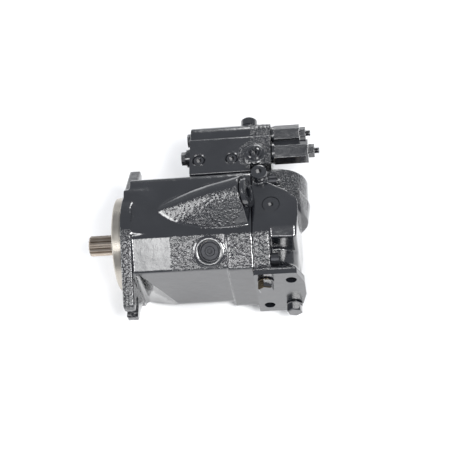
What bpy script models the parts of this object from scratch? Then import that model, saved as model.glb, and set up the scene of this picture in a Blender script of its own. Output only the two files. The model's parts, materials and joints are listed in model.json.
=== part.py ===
"""Variable-displacement axial piston pump with a load-sensing control valve.

Metres.  The origin is the centre of the mounting flange's face, on the shaft's axis.
+X runs along the shaft to the end cap, +Y is the control valve's side, +Z the drain port's side.
"""

import math

import bmesh
import bpy
from mathutils import Matrix, Vector

MM = 0.001
GAP = 0.3 * MM  # left between two pieces that touch
TURN = 2 * math.pi
WELD = 0.01 * MM

# Mounting flange: two bolts, open-ended slots, round pilot
PILOT_RADIUS = 50.8 * MM
PILOT_HEIGHT = 9.5 * MM
FLANGE_THICKNESS = 12.7 * MM
FLANGE_MARGIN = 6.2 * MM  # from the pilot to the flange's edge, along Z
EAR_HALF_WIDTH = 18 * MM
EAR_CORNER = 5 * MM
EAR_BEYOND = 14 * MM  # from the slot's centre to the ear's end
SLOT_OFFSET = 73 * MM
SLOT_RADIUS = 7.15 * MM

# Drive shaft
SHAFT_RADIUS = 12 * MM
SHAFT_REACH = 42.5 * MM
COLLAR_HEIGHT = 2.5 * MM
COLLAR_WIDTH = 4 * MM
SPLINE_TEETH = 13
SPLINE_STEP = 0.9 * MM  # from the shaft's surface down to the spline's tips
SPLINE_DEPTH = 1.9 * MM
INNER_SPLINE_DEPTH = 1.5 * MM
JOURNAL_STEP = 2 * MM

# Bearings and seal
BEARING_WIDTH = 14 * MM
BEARING_WALL = 11.4 * MM
REAR_BEARING_WALL = 11.2 * MM
REAR_BEARING_SETBACK = 3 * MM
ROLLER_LEAN = 0.9 * MM
SEAL_WALL = 7 * MM
SEAL_WIDTH = 8 * MM
SHAFT_HOLE_CLEARANCE = 3 * MM

# Rotating group
PISTON_COUNT = 9
PISTON_RADIUS = 7.6 * MM
PISTON_LENGTH = 49 * MM
PISTON_BORE = 4 * MM
SLIPPER_LIP = 1 * MM
SLIPPER_FOOT = 3 * MM
BALL_TO_FACE = 5.5 * MM  # from the plane of the piston balls to the swashplate's running face
BLOCK_LEAD = 19 * MM  # from the plane of the piston balls to the block
BLOCK_WALL = 3.3 * MM
BLOCK_CHAMFER = 1.5 * MM
BLOCK_PORT = 3.8 * MM
SPRING_ROOM = 6.2 * MM  # from the shaft out to the wall of the block spring's bore
SPRING_DEPTH = 22 * MM
INNER_WALL = 2.9 * MM  # between that bore and the piston bores
GUIDE_WALL = 7 * MM
GUIDE_REACH = 7 * MM
VALVE_PLATE_THICKNESS = 3.8 * MM
PLATE_PORT_HALF = 3.6 * MM
CAP_PORT_HALF = 5 * MM
PORT_SWEEP = 48

# Swashplate, in degrees and metres
SWASH_ANGLE = math.radians(17)
PIVOT_X = 54 * MM
PLATE_DEPTH = 8 * MM
PLATE_RIM = 4 * MM
LUG_SETBACK = 2.5 * MM
LUG_HALF_WIDTH = 5.5 * MM
CRADLE_RADIUS = 27 * MM
CRADLE_WIDTH = 20 * MM
CRADLE_CLEAR = 2 * MM  # from the shaft out to the rockers
BEARING_STRIP = 1.7 * MM
SEAT_ANGLE = 41

# Housing and end cap
HOUSING_LENGTH = 139 * MM
FRONT_WALL = 20 * MM
CAVITY_CLEARANCE = 3.5 * MM
HOUSING_WALL = 6.5 * MM
SIDE_EXTRA = 4 * MM  # the sides in Y stand further out than those in Z
CASE_CHAMFER = 7 * MM
FACET_RUN = 31 * MM  # the sloping drain face, along Y
FACET_DROP = 20 * MM  # and along Z
REAR_FLANGE = 27 * MM
REAR_FLANGE_STEP = 3 * MM
CAP_FLANGE = 17.7 * MM
CAP_LENGTH = 48 * MM
PORT_OFFSET = 24.7 * MM  # from the end cap's joint to the ports
NECK_RADIUS = 21 * MM
PORT_FOOT = 18 * MM
PAD_PROUD = 10.1 * MM
PAD_THICKNESS = 12 * MM
PRESSURE_BORE = 12.5 * MM
BOLT_HALF_X = 13.1 * MM
BOLT_HALF_Z = 26.2 * MM
PAD_BOLT_RADIUS = 4.9 * MM
PAD_BOLT_HEAD = 8.2 * MM
PLATE_THICKNESS = 5.7 * MM
SUCTION_PROUD = 11.1 * MM
SUCTION_BOSS_RADIUS = 33 * MM
SUCTION_BORE = 22 * MM
PORT_OVERLAP = 8 * MM
CAP_SCREW_RADIUS = 4 * MM
CAP_SCREW_HEAD = 6.2 * MM
CAP_SCREW_GRIP = 18 * MM  # the thread's length in the housing
SEAL_GROOVE_DEPTH = 2 * MM
SEAL_GROOVE_INSET = 0.9 * MM
SEAL_GROOVE_WIDTH = 2.6 * MM

# Plugs in the housing and the end cap
DRAIN_SETBACK = 45.5 * MM
DRAIN_BOSS_RADIUS = 16 * MM
DRAIN_RADIUS = 11 * MM
DRAIN_DEPTH = 11 * MM
DRAIN_PASSAGE = 5 * MM
PASSAGE_PLUG_RADIUS = 9 * MM
PASSAGE_PLUG_DEPTH = 7 * MM
PASSAGE_PLUG_X = 20 * MM
PASSAGE_PLUG_Y = 9 * MM
PILOT_PLUG_BOSS = 4 * MM
PILOT_PLUG_X = 8.7 * MM
PILOT_PLUG_INSET = 9 * MM
PILOT_THREAD = 5 * MM
PILOT_HEAD = 9 * MM

# Stroking cylinder
SERVO_TILT = math.radians(17)
SERVO_SETBACK = 5.6 * MM  # from the housing's end to the cylinder's mouth
SERVO_SIDE = 14 * MM
SERVO_INSET = 2.04 * MM  # from the cavity's wall in to the centre of the push rod's nose
SERVO_BOSS_RADIUS = 19.5 * MM
SERVO_BOSS_LEAD = 13.7 * MM
SERVO_RADIUS = 8.5 * MM
SERVO_NOSE = 4 * MM
SERVO_ROD = 24.3 * MM
SERVO_STOP = 5 * MM
SERVO_STOP_LENGTH = 12 * MM
SERVO_PLUG_RADIUS = 12.7 * MM
SERVO_PLUG_DEPTH = 11 * MM
SERVO_HEAD_RADIUS = 15.5 * MM
SERVO_HEAD_HEIGHT = 5 * MM
SERVO_SOCKET = 7 * MM
BIAS_RADIUS = 7 * MM
BIAS_NOSE = 5 * MM
BIAS_WALL = 1.8 * MM
BIAS_LAND = 1.1 * MM  # between the bias bore and the bearing bore, with the clearances
BIAS_DEPTH = 14 * MM

# Control valve
CONTROL_LENGTH = 89.5 * MM
CONTROL_OVERHANG = 21 * MM
CONTROL_HEIGHT = 40 * MM
CONTROL_WIDTH = 70 * MM
PAD_RISE = 4.7 * MM
OVERHANG_LIFT = 9 * MM
SPOOL_HEIGHT = 22 * MM
SPOOL_RADIUS = 5 * MM
SPOOL_WAIST = 3 * MM
SPOOL_LENGTH = 50 * MM
SPOOL_SETBACK = 9.6 * MM
LS_AXIS = 34 * MM  # from the control's foot to the lower spool
PC_AXIS = 58 * MM
LS_BOSS = 5 * MM
LS_BOSS_RADIUS = 10 * MM
SENSE_BOSS_RADIUS = 9.5 * MM
SENSE_SETBACK = 25 * MM
SENSE_THREAD = 5 * MM
SENSE_SEAT = 5 * MM
SPOOL_PLUG_RADIUS = 6.3 * MM
SPOOL_PLUG_DEPTH = 9 * MM
SPOOL_PLUG_HEX = 7.4 * MM
CONTROL_SCREW_RADIUS = 3 * MM
CONTROL_SCREW_HEAD = 5 * MM
CONTROL_SCREW_SEAT = 5 * MM
CONTROL_SCREW_GRIP = 8 * MM
GALLERY_RADIUS = 6.4 * MM
GALLERY_RIM = 8.2 * MM
GALLERY_SINK = 1.6 * MM
GALLERY_DEPTH = 9 * MM
GALLERY_BOSS = 5 * MM
GALLERY_BOSS_RADIUS = 8 * MM
SIDE_PLUG_RADIUS = 5.2 * MM
ADJUSTER_SPIGOT = 8 * MM
ADJUSTER_SEAT = 11 * MM
ADJUSTER_BORE = 5.6 * MM
ADJUSTER_SCREW = 3.5 * MM
ADJUSTER_THREAD = 9 * MM
ADJUSTER_TIP = 12 * MM
SPRING_SEAT = 14 * MM
LOCK_NUT_HEX = 7.5 * MM
LOCK_NUT_HEIGHT = 7 * MM

# Worked out from the above
FLANGE_HALF_HEIGHT = PILOT_RADIUS + FLANGE_MARGIN
EAR_REACH = SLOT_OFFSET + EAR_BEYOND
SPLINE_RADIUS = SHAFT_RADIUS - SPLINE_STEP
JOURNAL_RADIUS = SHAFT_RADIUS - JOURNAL_STEP
SEAL_RADIUS = SHAFT_RADIUS + SEAL_WALL
PITCH_RADIUS = SHAFT_RADIUS + SPRING_ROOM + INNER_WALL + GAP + PISTON_RADIUS
SLIPPER_RADIUS = PISTON_RADIUS + SLIPPER_LIP
SLIPPER_NECK = 0.72 * SLIPPER_RADIUS
BLOCK_RADIUS = PITCH_RADIUS + PISTON_RADIUS + BLOCK_WALL
CAVITY_RADIUS = BLOCK_RADIUS + CAVITY_CLEARANCE
BOX_Z = CAVITY_RADIUS + HOUSING_WALL
BOX_Y = BOX_Z + SIDE_EXTRA
SWASH_FACE = PIVOT_X - BALL_TO_FACE
SWASH_RIM = PITCH_RADIUS + SLIPPER_RADIUS + PLATE_RIM
PLATE_FRONT = SWASH_FACE - PLATE_DEPTH
LUG_FRONT = PLATE_FRONT + LUG_SETBACK
GUIDE_END = PIVOT_X + GUIDE_REACH
GUIDE_RADIUS = SHAFT_RADIUS + GUIDE_WALL
GROUP_TRAVEL = (PITCH_RADIUS + SLIPPER_RADIUS) * math.tan(SWASH_ANGLE)
BLOCK_FRONT = PIVOT_X + BLOCK_LEAD
BLOCK_REAR = HOUSING_LENGTH - VALVE_PLATE_THICKNESS - GAP
CRADLE_INSET = SHAFT_RADIUS + CRADLE_CLEAR
SEAT_RADIUS = CRADLE_RADIUS + BEARING_STRIP + 2 * GAP
CAP_FACE = HOUSING_LENGTH + GAP
CAP_REAR = HOUSING_LENGTH + CAP_LENGTH
PORT_X = CAP_FACE + PORT_OFFSET
PAD_FACE = BOX_Y + PAD_PROUD
SUCTION_FACE = BOX_Y + SUCTION_PROUD
FOOT_BOTTOM = BOX_Y + PAD_RISE + GAP
LS_Y = FOOT_BOTTOM + LS_AXIS
PC_Y = FOOT_BOTTOM + PC_AXIS
CONTROL_TOP = FOOT_BOTTOM + CONTROL_WIDTH
CONTROL_END = HOUSING_LENGTH + CONTROL_OVERHANG
CONTROL_START = CONTROL_END - CONTROL_LENGTH
SPOOL_START = CONTROL_START + SPOOL_SETBACK
SENSE_X = CONTROL_END - SENSE_SETBACK
FACET_SLOPE = math.atan2(FACET_DROP, FACET_RUN)
FACET_CENTRE = Vector((HOUSING_LENGTH - DRAIN_SETBACK, FACET_RUN / 2 - BOX_Y, BOX_Z - FACET_DROP / 2))
SERVO_LEVER = CAVITY_RADIUS - SERVO_INSET
SERVO_RUN = HOUSING_LENGTH - SERVO_SETBACK - (SWASH_FACE + SERVO_NOSE + GAP)
SERVO_RISE = SERVO_RUN * math.tan(SERVO_TILT)
SERVO_MOUTH = Vector((HOUSING_LENGTH - SERVO_SETBACK, SERVO_SIDE, SERVO_LEVER + SERVO_RISE))
SERVO_NOSE_AT = -SERVO_RUN / math.cos(SERVO_TILT)
SERVO_RELIEF = SERVO_HEAD_RADIUS + MM
BIAS_HEIGHT = SHAFT_RADIUS + BEARING_WALL + BIAS_LAND + BIAS_RADIUS
PASSAGE_PLUG_AT = (CAP_FACE + PASSAGE_PLUG_X, PASSAGE_PLUG_Y)
PILOT_PLUG_AT = (CAP_FACE + PILOT_PLUG_X, BOX_Y - PILOT_PLUG_INSET)

ALONG_X = Matrix.Identity(4)
AGAINST_X = Matrix.Rotation(math.pi, 4, "Z")
ALONG_Y = Matrix.Rotation(math.pi / 2, 4, "Z")
AGAINST_Y = Matrix.Rotation(-math.pi / 2, 4, "Z")
ALONG_Z = Matrix.Rotation(-math.pi / 2, 4, "Y")
ALONG_SERVO = Matrix.Rotation(-SERVO_TILT, 4, "Y")
OUT_OF_FACET = Matrix.Rotation(FACET_SLOPE - math.pi / 2, 4, "X") @ AGAINST_Y
SERVO_LINE = Vector((math.cos(SERVO_TILT), 0, math.sin(SERVO_TILT)))


for old in list(bpy.data.objects):
    bpy.data.objects.remove(old)


# ---------------------------------------------------------------- finishes
def finish(name, colour, roughness, metallic):
    material = bpy.data.materials.new(name)
    material.use_nodes = True
    shader = material.node_tree.nodes["Principled BSDF"]
    shader.inputs["Base Color"].default_value = (*colour, 1)
    shader.inputs["Roughness"].default_value = roughness
    shader.inputs["Metallic"].default_value = metallic
    return material


BLACK_PAINT = finish("black_painted_iron", (0.03, 0.032, 0.037), 0.4, 0.0)
VALVE_PAINT = finish("black_valve_paint", (0.025, 0.027, 0.032), 0.35, 0.0)
DARK_STEEL = finish("blackened_steel", (0.04, 0.04, 0.045), 0.45, 0.6)
BRIGHT_STEEL = finish("ground_steel", (0.6, 0.58, 0.55), 0.3, 1.0)
BRONZE = finish("bearing_bronze", (0.55, 0.4, 0.2), 0.4, 1.0)
SEAL_RUBBER = finish("seal_rubber", (0.02, 0.02, 0.02), 0.7, 0.0)
SPRING_STEEL = finish("spring_steel", (0.35, 0.34, 0.33), 0.4, 1.0)


# ---------------------------------------------------------------- shapes
def piece(name, bm, material, at=(0, 0, 0), turn=ALONG_X, parent=None, sharp=35):
    """An object from a bmesh, placed at a point and turned."""
    bmesh.ops.remove_doubles(bm, verts=bm.verts, dist=WELD)
    bmesh.ops.recalc_face_normals(bm, faces=bm.faces)
    mesh = bpy.data.meshes.new(name)
    bm.to_mesh(mesh)
    bm.free()
    mesh.shade_smooth()
    mesh.set_sharp_from_angle(angle=math.radians(sharp))
    mesh.materials.append(material)
    obj = bpy.data.objects.new(name, mesh)
    bpy.context.scene.collection.objects.link(obj)
    obj.matrix_world = Matrix.Translation(at) @ turn
    if parent:
        obj.parent = parent
        obj.matrix_parent_inverse = parent.matrix_world.inverted()
    return obj


def turned(profile, segments=20, ring=False):
    """A solid of revolution about local X through (x, radius) points."""
    bm = bmesh.new()
    verts = [bm.verts.new((x, 0, radius)) for x, radius in profile]
    edges = [bm.edges.new(pair) for pair in zip(verts, verts[1:])]
    if ring:
        edges.append(bm.edges.new((verts[-1], verts[0])))
    bmesh.ops.spin(
        bm, geom=verts + edges, cent=(0, 0, 0), axis=(1, 0, 0), angle=TURN, steps=segments, use_merge=True
    )
    return bm


def disc(start, end, radius, segments=20):
    return turned([(start, 0), (start, radius), (end, radius), (end, 0)], segments)


def tube(start, end, inner, outer, segments=20):
    return turned([(start, inner), (start, outer), (end, outer), (end, inner)], segments, ring=True)


def prism(outline, start, end):
    """An outline of (y, z) points, extruded along local X."""
    bm = bmesh.new()
    face = bm.faces.new([bm.verts.new((start, y, z)) for y, z in outline])
    made = bmesh.ops.extrude_face_region(bm, geom=[face])
    top = [v for v in made["geom"] if isinstance(v, bmesh.types.BMVert)]
    bmesh.ops.translate(bm, verts=top, vec=(end - start, 0, 0))
    return bm


def slab(low, high):
    bm = bmesh.new()
    bmesh.ops.create_cube(bm, size=1)
    size, middle = Vector(high) - Vector(low), (Vector(high) + Vector(low)) / 2
    bmesh.ops.scale(bm, verts=bm.verts, vec=size)
    bmesh.ops.translate(bm, verts=bm.verts, vec=middle)
    return bm


def hull(points):
    bm = bmesh.new()
    for point in points:
        bm.verts.new(point)
    made = bmesh.ops.convex_hull(bm, input=bm.verts)
    spare = {v for v in made["geom_interior"] + made["geom_unused"] if isinstance(v, bmesh.types.BMVert)}
    bmesh.ops.delete(bm, geom=list(spare), context="VERTS")
    return bm


def arc(centre, radius, start, end, steps):
    """Points on an arc, from one angle to another, in degrees."""
    angles = [math.radians(start + (end - start) * i / steps) for i in range(steps + 1)]
    return [(centre[0] + radius * math.cos(a), centre[1] + radius * math.sin(a)) for a in angles]


def polygon(radius, sides, phase=0.0):
    return [(radius * math.cos(TURN * i / sides + phase), radius * math.sin(TURN * i / sides + phase))
            for i in range(sides)]


def combine(target, bm, operation, at=(0, 0, 0), turn=ALONG_X):
    """Joins a shape to a piece, or cuts it out of the piece."""
    tool = piece("tool", bm, BLACK_PAINT, at, turn)
    tool.hide_render = True
    tool.display_type = "WIRE"
    modifier = target.modifiers.new(operation.lower(), "BOOLEAN")
    modifier.operation = operation
    modifier.solver = "EXACT"
    modifier.object = tool
    with bpy.context.temp_override(object=target, active_object=target):
        bpy.ops.object.modifier_apply(modifier=modifier.name)
    bpy.data.objects.remove(tool)
    bm = bmesh.new()
    bm.from_mesh(target.data)
    bmesh.ops.remove_doubles(bm, verts=bm.verts, dist=WELD)
    bmesh.ops.dissolve_degenerate(bm, edges=bm.edges, dist=WELD)
    bm.to_mesh(target.data)
    bm.free()


def add(target, bm, at=(0, 0, 0), turn=ALONG_X):
    combine(target, bm, "UNION", at, turn)


def cut(target, bm, at=(0, 0, 0), turn=ALONG_X):
    combine(target, bm, "DIFFERENCE", at, turn)


def pivot(name, at, turn=ALONG_X, parent=None):
    """An empty on a joint's axis, which carries the pieces that move with it."""
    empty = bpy.data.objects.new(name, None)
    bpy.context.scene.collection.objects.link(empty)
    empty.matrix_world = Matrix.Translation(at) @ turn
    if parent:
        empty.parent = parent
        empty.matrix_parent_inverse = parent.matrix_world.inverted()
    return empty


def socket_head_screw(name, at, turn, shank, length, head, height, parent=None):
    """A cap screw whose head's underside is at the origin of its local X axis, head towards +X."""
    screw = turned(
        [(-length, 0), (-length, shank), (0, shank), (0, head), (height, head), (height, 0)], 16
    )
    obj = piece(name, screw, DARK_STEEL, at, turn, parent)
    cut(obj, prism(polygon(0.58 * head, 6), 0.4 * height, height + MM), at, turn)
    return obj


def socket_plug(name, at, turn, material, profile, socket, depth, segments=20):
    """A turned plug with a hexagon socket in its outer end, which is at local x = 0 or beyond."""
    obj = piece(name, turned(profile, segments), material, at, turn)
    top = profile[-1][0]
    cut(obj, prism(polygon(socket, 6), top - depth, top + MM), at, turn)
    return obj


def coil_spring(name, start, end, radius, wire, turns, at, parent=None):
    """A helical compression spring along X."""
    curve = bpy.data.curves.new(name, "CURVE")
    curve.dimensions = "3D"
    curve.bevel_depth = wire
    curve.bevel_resolution = 0
    curve.use_fill_caps = True
    per_turn = 10
    count = turns * per_turn + 1
    line = curve.splines.new("POLY")
    line.points.add(count - 1)
    inset = wire + GAP
    for i, point in enumerate(line.points):
        angle = TURN * i / per_turn
        x = start + inset + (end - start - 2 * inset) * i / (count - 1)
        point.co = (x, radius * math.cos(angle), radius * math.sin(angle), 1)
    curve.materials.append(SPRING_STEEL)
    obj = bpy.data.objects.new(name, curve)
    bpy.context.scene.collection.objects.link(obj)
    obj.location = at
    if parent:
        obj.parent = parent
        obj.matrix_parent_inverse = parent.matrix_world.inverted()
    return obj


# ---------------------------------------------------------------- outlines
def flange_outline():
    """The two-bolt flange: a rhombus with blunt ears along Y."""
    corner = EAR_CORNER
    shoulder_y, shoulder_z = 0.42 * EAR_REACH, 0.93 * FLANGE_HALF_HEIGHT
    quarter = [
        (EAR_REACH, 0),
        *arc((EAR_REACH - corner, EAR_HALF_WIDTH - corner), corner, 0, 45, 2),
        (shoulder_y, shoulder_z),
        (0.28 * EAR_REACH, FLANGE_HALF_HEIGHT),
    ]
    right = quarter[1:] + [(-y, z) for y, z in reversed(quarter[1:])]
    return right + [(y, -z) for y, z in reversed(right)]


def case_outline(grow):
    """The housing's section: a box with the sloping drain face across one corner."""
    left, bottom, chamfer = -BOX_Y - grow, -BOX_Z - grow, CASE_CHAMFER
    return [
        (left, bottom + chamfer),
        (left + chamfer, bottom),
        (BOX_Y - chamfer, bottom),
        (BOX_Y, bottom + chamfer),
        (BOX_Y, BOX_Z - chamfer),
        (BOX_Y - chamfer, BOX_Z),
        (FACET_RUN - BOX_Y, BOX_Z),
        (left, BOX_Z - FACET_DROP + grow),
    ]


def plate_outline(inset):
    """The pressure pad's (x, z) points about the port's centre."""
    left = BOLT_HALF_X + 11.9 * MM - inset
    right = BOLT_HALF_X + 13.9 * MM - inset
    top = BOLT_HALF_Z + 14.8 * MM - inset
    bottom = BOLT_HALF_Z + 13.8 * MM - inset
    return [
        (-left, -bottom),
        (BOLT_HALF_X - 1.1 * MM, -bottom),
        (right - 6 * MM, -BOLT_HALF_Z),
        (right, -5 * MM),
        (right - 1.5 * MM, 20 * MM),
        (BOLT_HALF_X + 4.9 * MM, top),
        (5 * MM - left, top),
        (-left, top - 7 * MM),
    ]


CAP_SCREW_PLACES = [
    (8 * MM - BOX_Y, BOX_Z - FACET_DROP),
    (14 * MM - BOX_Y, 8 * MM - BOX_Z),
    (BOX_Y - 8 * MM, 12 * MM - BOX_Z),
    (BOX_Y - 8 * MM, BOX_Z - 12 * MM),
]
CONTROL_SCREW_PLACES = [(CONTROL_START + 9.5 * MM, 8 * MM), (HOUSING_LENGTH - 13 * MM, 8 * MM)]
GALLERY_PLACES = [
    (CONTROL_START + 10.5 * MM, FOOT_BOTTOM + 19 * MM),
    (HOUSING_LENGTH - 22 * MM, FOOT_BOTTOM + 19 * MM),
    (CONTROL_END - 17.5 * MM, FOOT_BOTTOM + 21.5 * MM),
]


# ---------------------------------------------------------------- housing
def build_housing():
    housing = piece("housing", prism(flange_outline(), 0, FLANGE_THICKNESS), BLACK_PAINT)
    add(housing, disc(-PILOT_HEIGHT, FLANGE_THICKNESS / 2, PILOT_RADIUS, 48))
    add(housing, prism(case_outline(0), FLANGE_THICKNESS / 2, HOUSING_LENGTH))
    add(housing, prism(case_outline(REAR_FLANGE_STEP), HOUSING_LENGTH - REAR_FLANGE, HOUSING_LENGTH))
    # the stroking cylinder's boss: round at its mouth, narrow at the front, flared on the drain side
    points = []
    front = SERVO_NOSE_AT - SERVO_BOSS_LEAD
    for along, radius in ((0, SERVO_BOSS_RADIUS), (front, 0.62 * SERVO_BOSS_RADIUS)):
        middle = SERVO_MOUTH + SERVO_LINE * along
        for y, z in polygon(radius, 20):
            points.append(middle + ALONG_SERVO @ Vector((0, y, z)))
    foot = BOX_Z - 4 * MM
    drop = (SERVO_MOUTH.z - foot) * math.tan(SERVO_TILT)
    points += [(SERVO_MOUTH.x + drop, -15 * MM, foot), (PIVOT_X + 14 * MM, -12 * MM, foot)]
    add(housing, hull(points))
    past = (HOUSING_LENGTH, -BOX_Y, 0)
    cut(housing, slab(past, (HOUSING_LENGTH + CAP_LENGTH, BOX_Y, 2 * BOX_Z)))
    # pad for the control valve, and the drain port's boss
    pad_low = (CONTROL_START + 1.5 * MM, BOX_Y - 2 * MM, 0.5 * MM)
    add(housing, slab(pad_low, (HOUSING_LENGTH, FOOT_BOTTOM - GAP, CONTROL_HEIGHT - 2 * MM)))
    add(housing, disc(-6 * MM, 1.2 * MM, DRAIN_BOSS_RADIUS, 28), FACET_CENTRE, OUT_OF_FACET)

    cut(housing, disc(FRONT_WALL, HOUSING_LENGTH + MM, CAVITY_RADIUS, 40))
    # seats for the swashplate's cradle, either side of the shaft
    curve = arc((PIVOT_X, 0), SEAT_RADIUS, 180 - SEAT_ANGLE, 180 + SEAT_ANGLE, 10)
    back = FRONT_WALL - 2 * MM
    seat = [(-x, z) for x, z in [(back, curve[0][1]), *curve, (back, curve[-1][1])]]
    for side in (-1, 1):
        inner, outer = sorted((side * (CRADLE_INSET + MM), side * (CRADLE_INSET + CRADLE_WIDTH - MM)))
        add(housing, prism(seat, inner, outer), turn=ALONG_Y)
    # seal bore and bearing bore, on the shaft's axis
    bearing_radius = SHAFT_RADIUS + BEARING_WALL + GAP
    bearing_start = FRONT_WALL - BEARING_WIDTH - 2 * GAP
    seal_end = SEAL_WIDTH - PILOT_HEIGHT + MM
    hole_radius = SHAFT_RADIUS + SHAFT_HOLE_CLEARANCE
    bore = [
        (-PILOT_HEIGHT - MM, 0),
        (-PILOT_HEIGHT - MM, SEAL_RADIUS + GAP),
        (seal_end, SEAL_RADIUS + GAP),
        (seal_end, hole_radius),
        (bearing_start, hole_radius),
        (bearing_start, bearing_radius),
        (FRONT_WALL + GAP, bearing_radius),
        (FRONT_WALL + GAP, 0),
    ]
    cut(housing, turned(bore, 32))
    # stroking cylinder: thread for the plug, bore, and the passage for the push rod
    lug_top = math.hypot(PIVOT_X - LUG_FRONT, SERVO_NOSE + SERVO_LEVER) + MM
    bore_end = SERVO_NOSE_AT + SERVO_ROD - 2 * MM
    rod_passage = SERVO_NOSE + 2 * MM
    cylinder = [
        (9 * MM, 0),
        (9 * MM, SERVO_RELIEF),
        (0, SERVO_RELIEF),
        (0, SERVO_PLUG_RADIUS + GAP),
        (-SERVO_PLUG_DEPTH - GAP, SERVO_PLUG_RADIUS + GAP),
        (-SERVO_PLUG_DEPTH - GAP, SERVO_RADIUS + GAP),
        (bore_end, SERVO_RADIUS + GAP),
        (bore_end, rod_passage),
        (SERVO_NOSE_AT, rod_passage),
        (SERVO_NOSE_AT, 0),
    ]
    cut(housing, turned(cylinder, 20), SERVO_MOUTH, ALONG_SERVO)
    pocket_low = (PLATE_FRONT - 5 * MM, SERVO_MOUTH.y - 8 * MM, BOX_Z / 2)
    cut(housing, slab(pocket_low, (PIVOT_X + 12 * MM, SERVO_MOUTH.y + 8 * MM, lug_top)))
    # bias spring pocket in the front wall
    cut(housing, disc(FRONT_WALL - BIAS_DEPTH, FRONT_WALL + MM, BIAS_RADIUS + GAP), (0, 0, BIAS_HEIGHT))
    # drain port: plug thread, then a passage to the cavity
    port = [
        (-30 * MM, 0),
        (-30 * MM, DRAIN_PASSAGE),
        (-DRAIN_DEPTH - MM, DRAIN_PASSAGE),
        (-DRAIN_DEPTH - MM, DRAIN_RADIUS + GAP),
        (2 * MM, DRAIN_RADIUS + GAP),
        (2 * MM, 0),
    ]
    cut(housing, turned(port, 24), FACET_CENTRE, OUT_OF_FACET)
    for side in (-1, 1):
        round_end = [(side * (SLOT_OFFSET + y), z) for y, z in arc((0, 0), SLOT_RADIUS, 90, 270, 10)]
        mouth = side * (EAR_REACH + 5 * MM)
        slot = [(mouth, SLOT_RADIUS), *round_end, (mouth, -SLOT_RADIUS)]
        cut(housing, prism(slot, -MM, FLANGE_THICKNESS + MM))
    for y, z in CAP_SCREW_PLACES:
        thread_end = HOUSING_LENGTH - CAP_SCREW_GRIP - 4 * MM
        cut(housing, disc(thread_end, HOUSING_LENGTH + MM, CAP_SCREW_RADIUS + GAP, 12), (0, y, z))
    for x, z in CONTROL_SCREW_PLACES:
        thread = disc(-CONTROL_SCREW_GRIP - MM, MM, CONTROL_SCREW_RADIUS + GAP, 12)
        cut(housing, thread, (x, FOOT_BOTTOM, z), ALONG_Y)
    return housing


# ---------------------------------------------------------------- end cap
def build_end_cap():
    plate = prism(case_outline(REAR_FLANGE_STEP), CAP_FACE, CAP_FACE + CAP_FLANGE)
    cap = piece("end_cap", plate, BLACK_PAINT)
    port_side, far_side = 22.9 * MM - BOX_Y, BOX_Y - 17.9 * MM
    top = [
        (CAP_FACE + 8 * MM, port_side),
        (CAP_REAR - 4 * MM, port_side),
        (CAP_REAR, port_side + 11 * MM),
        (CAP_REAR, far_side - 22 * MM),
        (CAP_REAR - 8 * MM, far_side - 12 * MM),
        (CAP_FACE + 19 * MM, far_side),
        (CAP_FACE + 8 * MM, far_side),
    ]
    add(cap, prism([(y, -x) for x, y in top], 4 * MM - BOX_Z, BOX_Z), turn=ALONG_Z)
    add(cap, disc(PORT_FOOT, PAD_FACE - 2 * MM, NECK_RADIUS, 32), (PORT_X, 0, 0), AGAINST_Y)
    add(cap, prism(plate_outline(0.6 * MM), PAD_FACE - PAD_THICKNESS, PAD_FACE), (PORT_X, 0, 0), AGAINST_Y)
    add(cap, disc(PORT_FOOT, SUCTION_FACE, SUCTION_BOSS_RADIUS, 40), (PORT_X, 0, 0), ALONG_Y)
    ahead = (CAP_FACE - SUCTION_BOSS_RADIUS, -BOX_Y, -BOX_Z - MM)
    cut(cap, slab(ahead, (CAP_FACE, SUCTION_FACE + MM, BOX_Z + MM)))
    boss = (*PILOT_PLUG_AT, 0)
    add(cap, disc(BOX_Z - 20 * MM, BOX_Z + PILOT_PLUG_BOSS, PILOT_HEAD - MM / 2, 24), boss, ALONG_Z)

    rear_radius = JOURNAL_RADIUS + REAR_BEARING_WALL + GAP
    cut(cap, disc(CAP_FACE - MM, CAP_FACE + REAR_BEARING_SETBACK + BEARING_WIDTH + MM, rear_radius, 32))
    # kidney ports behind the valve plate, opening into the suction and pressure bores
    for side, port in ((1, SUCTION_BORE), (-1, PRESSURE_BORE)):
        passage_end = PORT_X - port + PORT_OVERLAP
        cut(cap, prism(kidney(side, CAP_PORT_HALF), CAP_FACE - MM, passage_end))
    reach = rear_radius + 3.5 * MM
    cut(cap, disc(reach, SUCTION_FACE + MM, SUCTION_BORE, 32), (PORT_X, 0, 0), ALONG_Y)
    cut(cap, disc(reach, PAD_FACE + MM, PRESSURE_BORE, 24), (PORT_X, 0, 0), AGAINST_Y)
    for x, z in pad_bolts():
        hole = disc(PAD_FACE - PAD_THICKNESS - GAP, PAD_FACE + MM, PAD_BOLT_RADIUS + GAP, 16)
        cut(cap, hole, (x, 0, z), AGAINST_Y)
    for y, z in CAP_SCREW_PLACES:
        seat, head_room = CAP_FACE + CAP_FLANGE, CAP_SCREW_HEAD + 0.4 * MM
        hole = [
            (CAP_FACE - MM, 0),
            (CAP_FACE - MM, CAP_SCREW_RADIUS + GAP),
            (seat, CAP_SCREW_RADIUS + GAP),
            (seat, head_room),
            (seat + 12 * MM, head_room),
            (seat + 12 * MM, 0),
        ]
        cut(cap, turned(hole, 16), (0, y, z))
    passage = disc(BOX_Z - PASSAGE_PLUG_DEPTH - MM, BOX_Z + MM, PASSAGE_PLUG_RADIUS + GAP, 24)
    cut(cap, passage, (*PASSAGE_PLUG_AT, 0), ALONG_Z)
    cut(cap, disc(BOX_Z - 6 * MM, BOX_Z + PILOT_PLUG_BOSS + MM, PILOT_THREAD + GAP, 16), boss, ALONG_Z)
    cut(cap, disc(0, 14 * MM, SERVO_RELIEF, 28), SERVO_MOUTH, ALONG_SERVO)
    return cap


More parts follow.
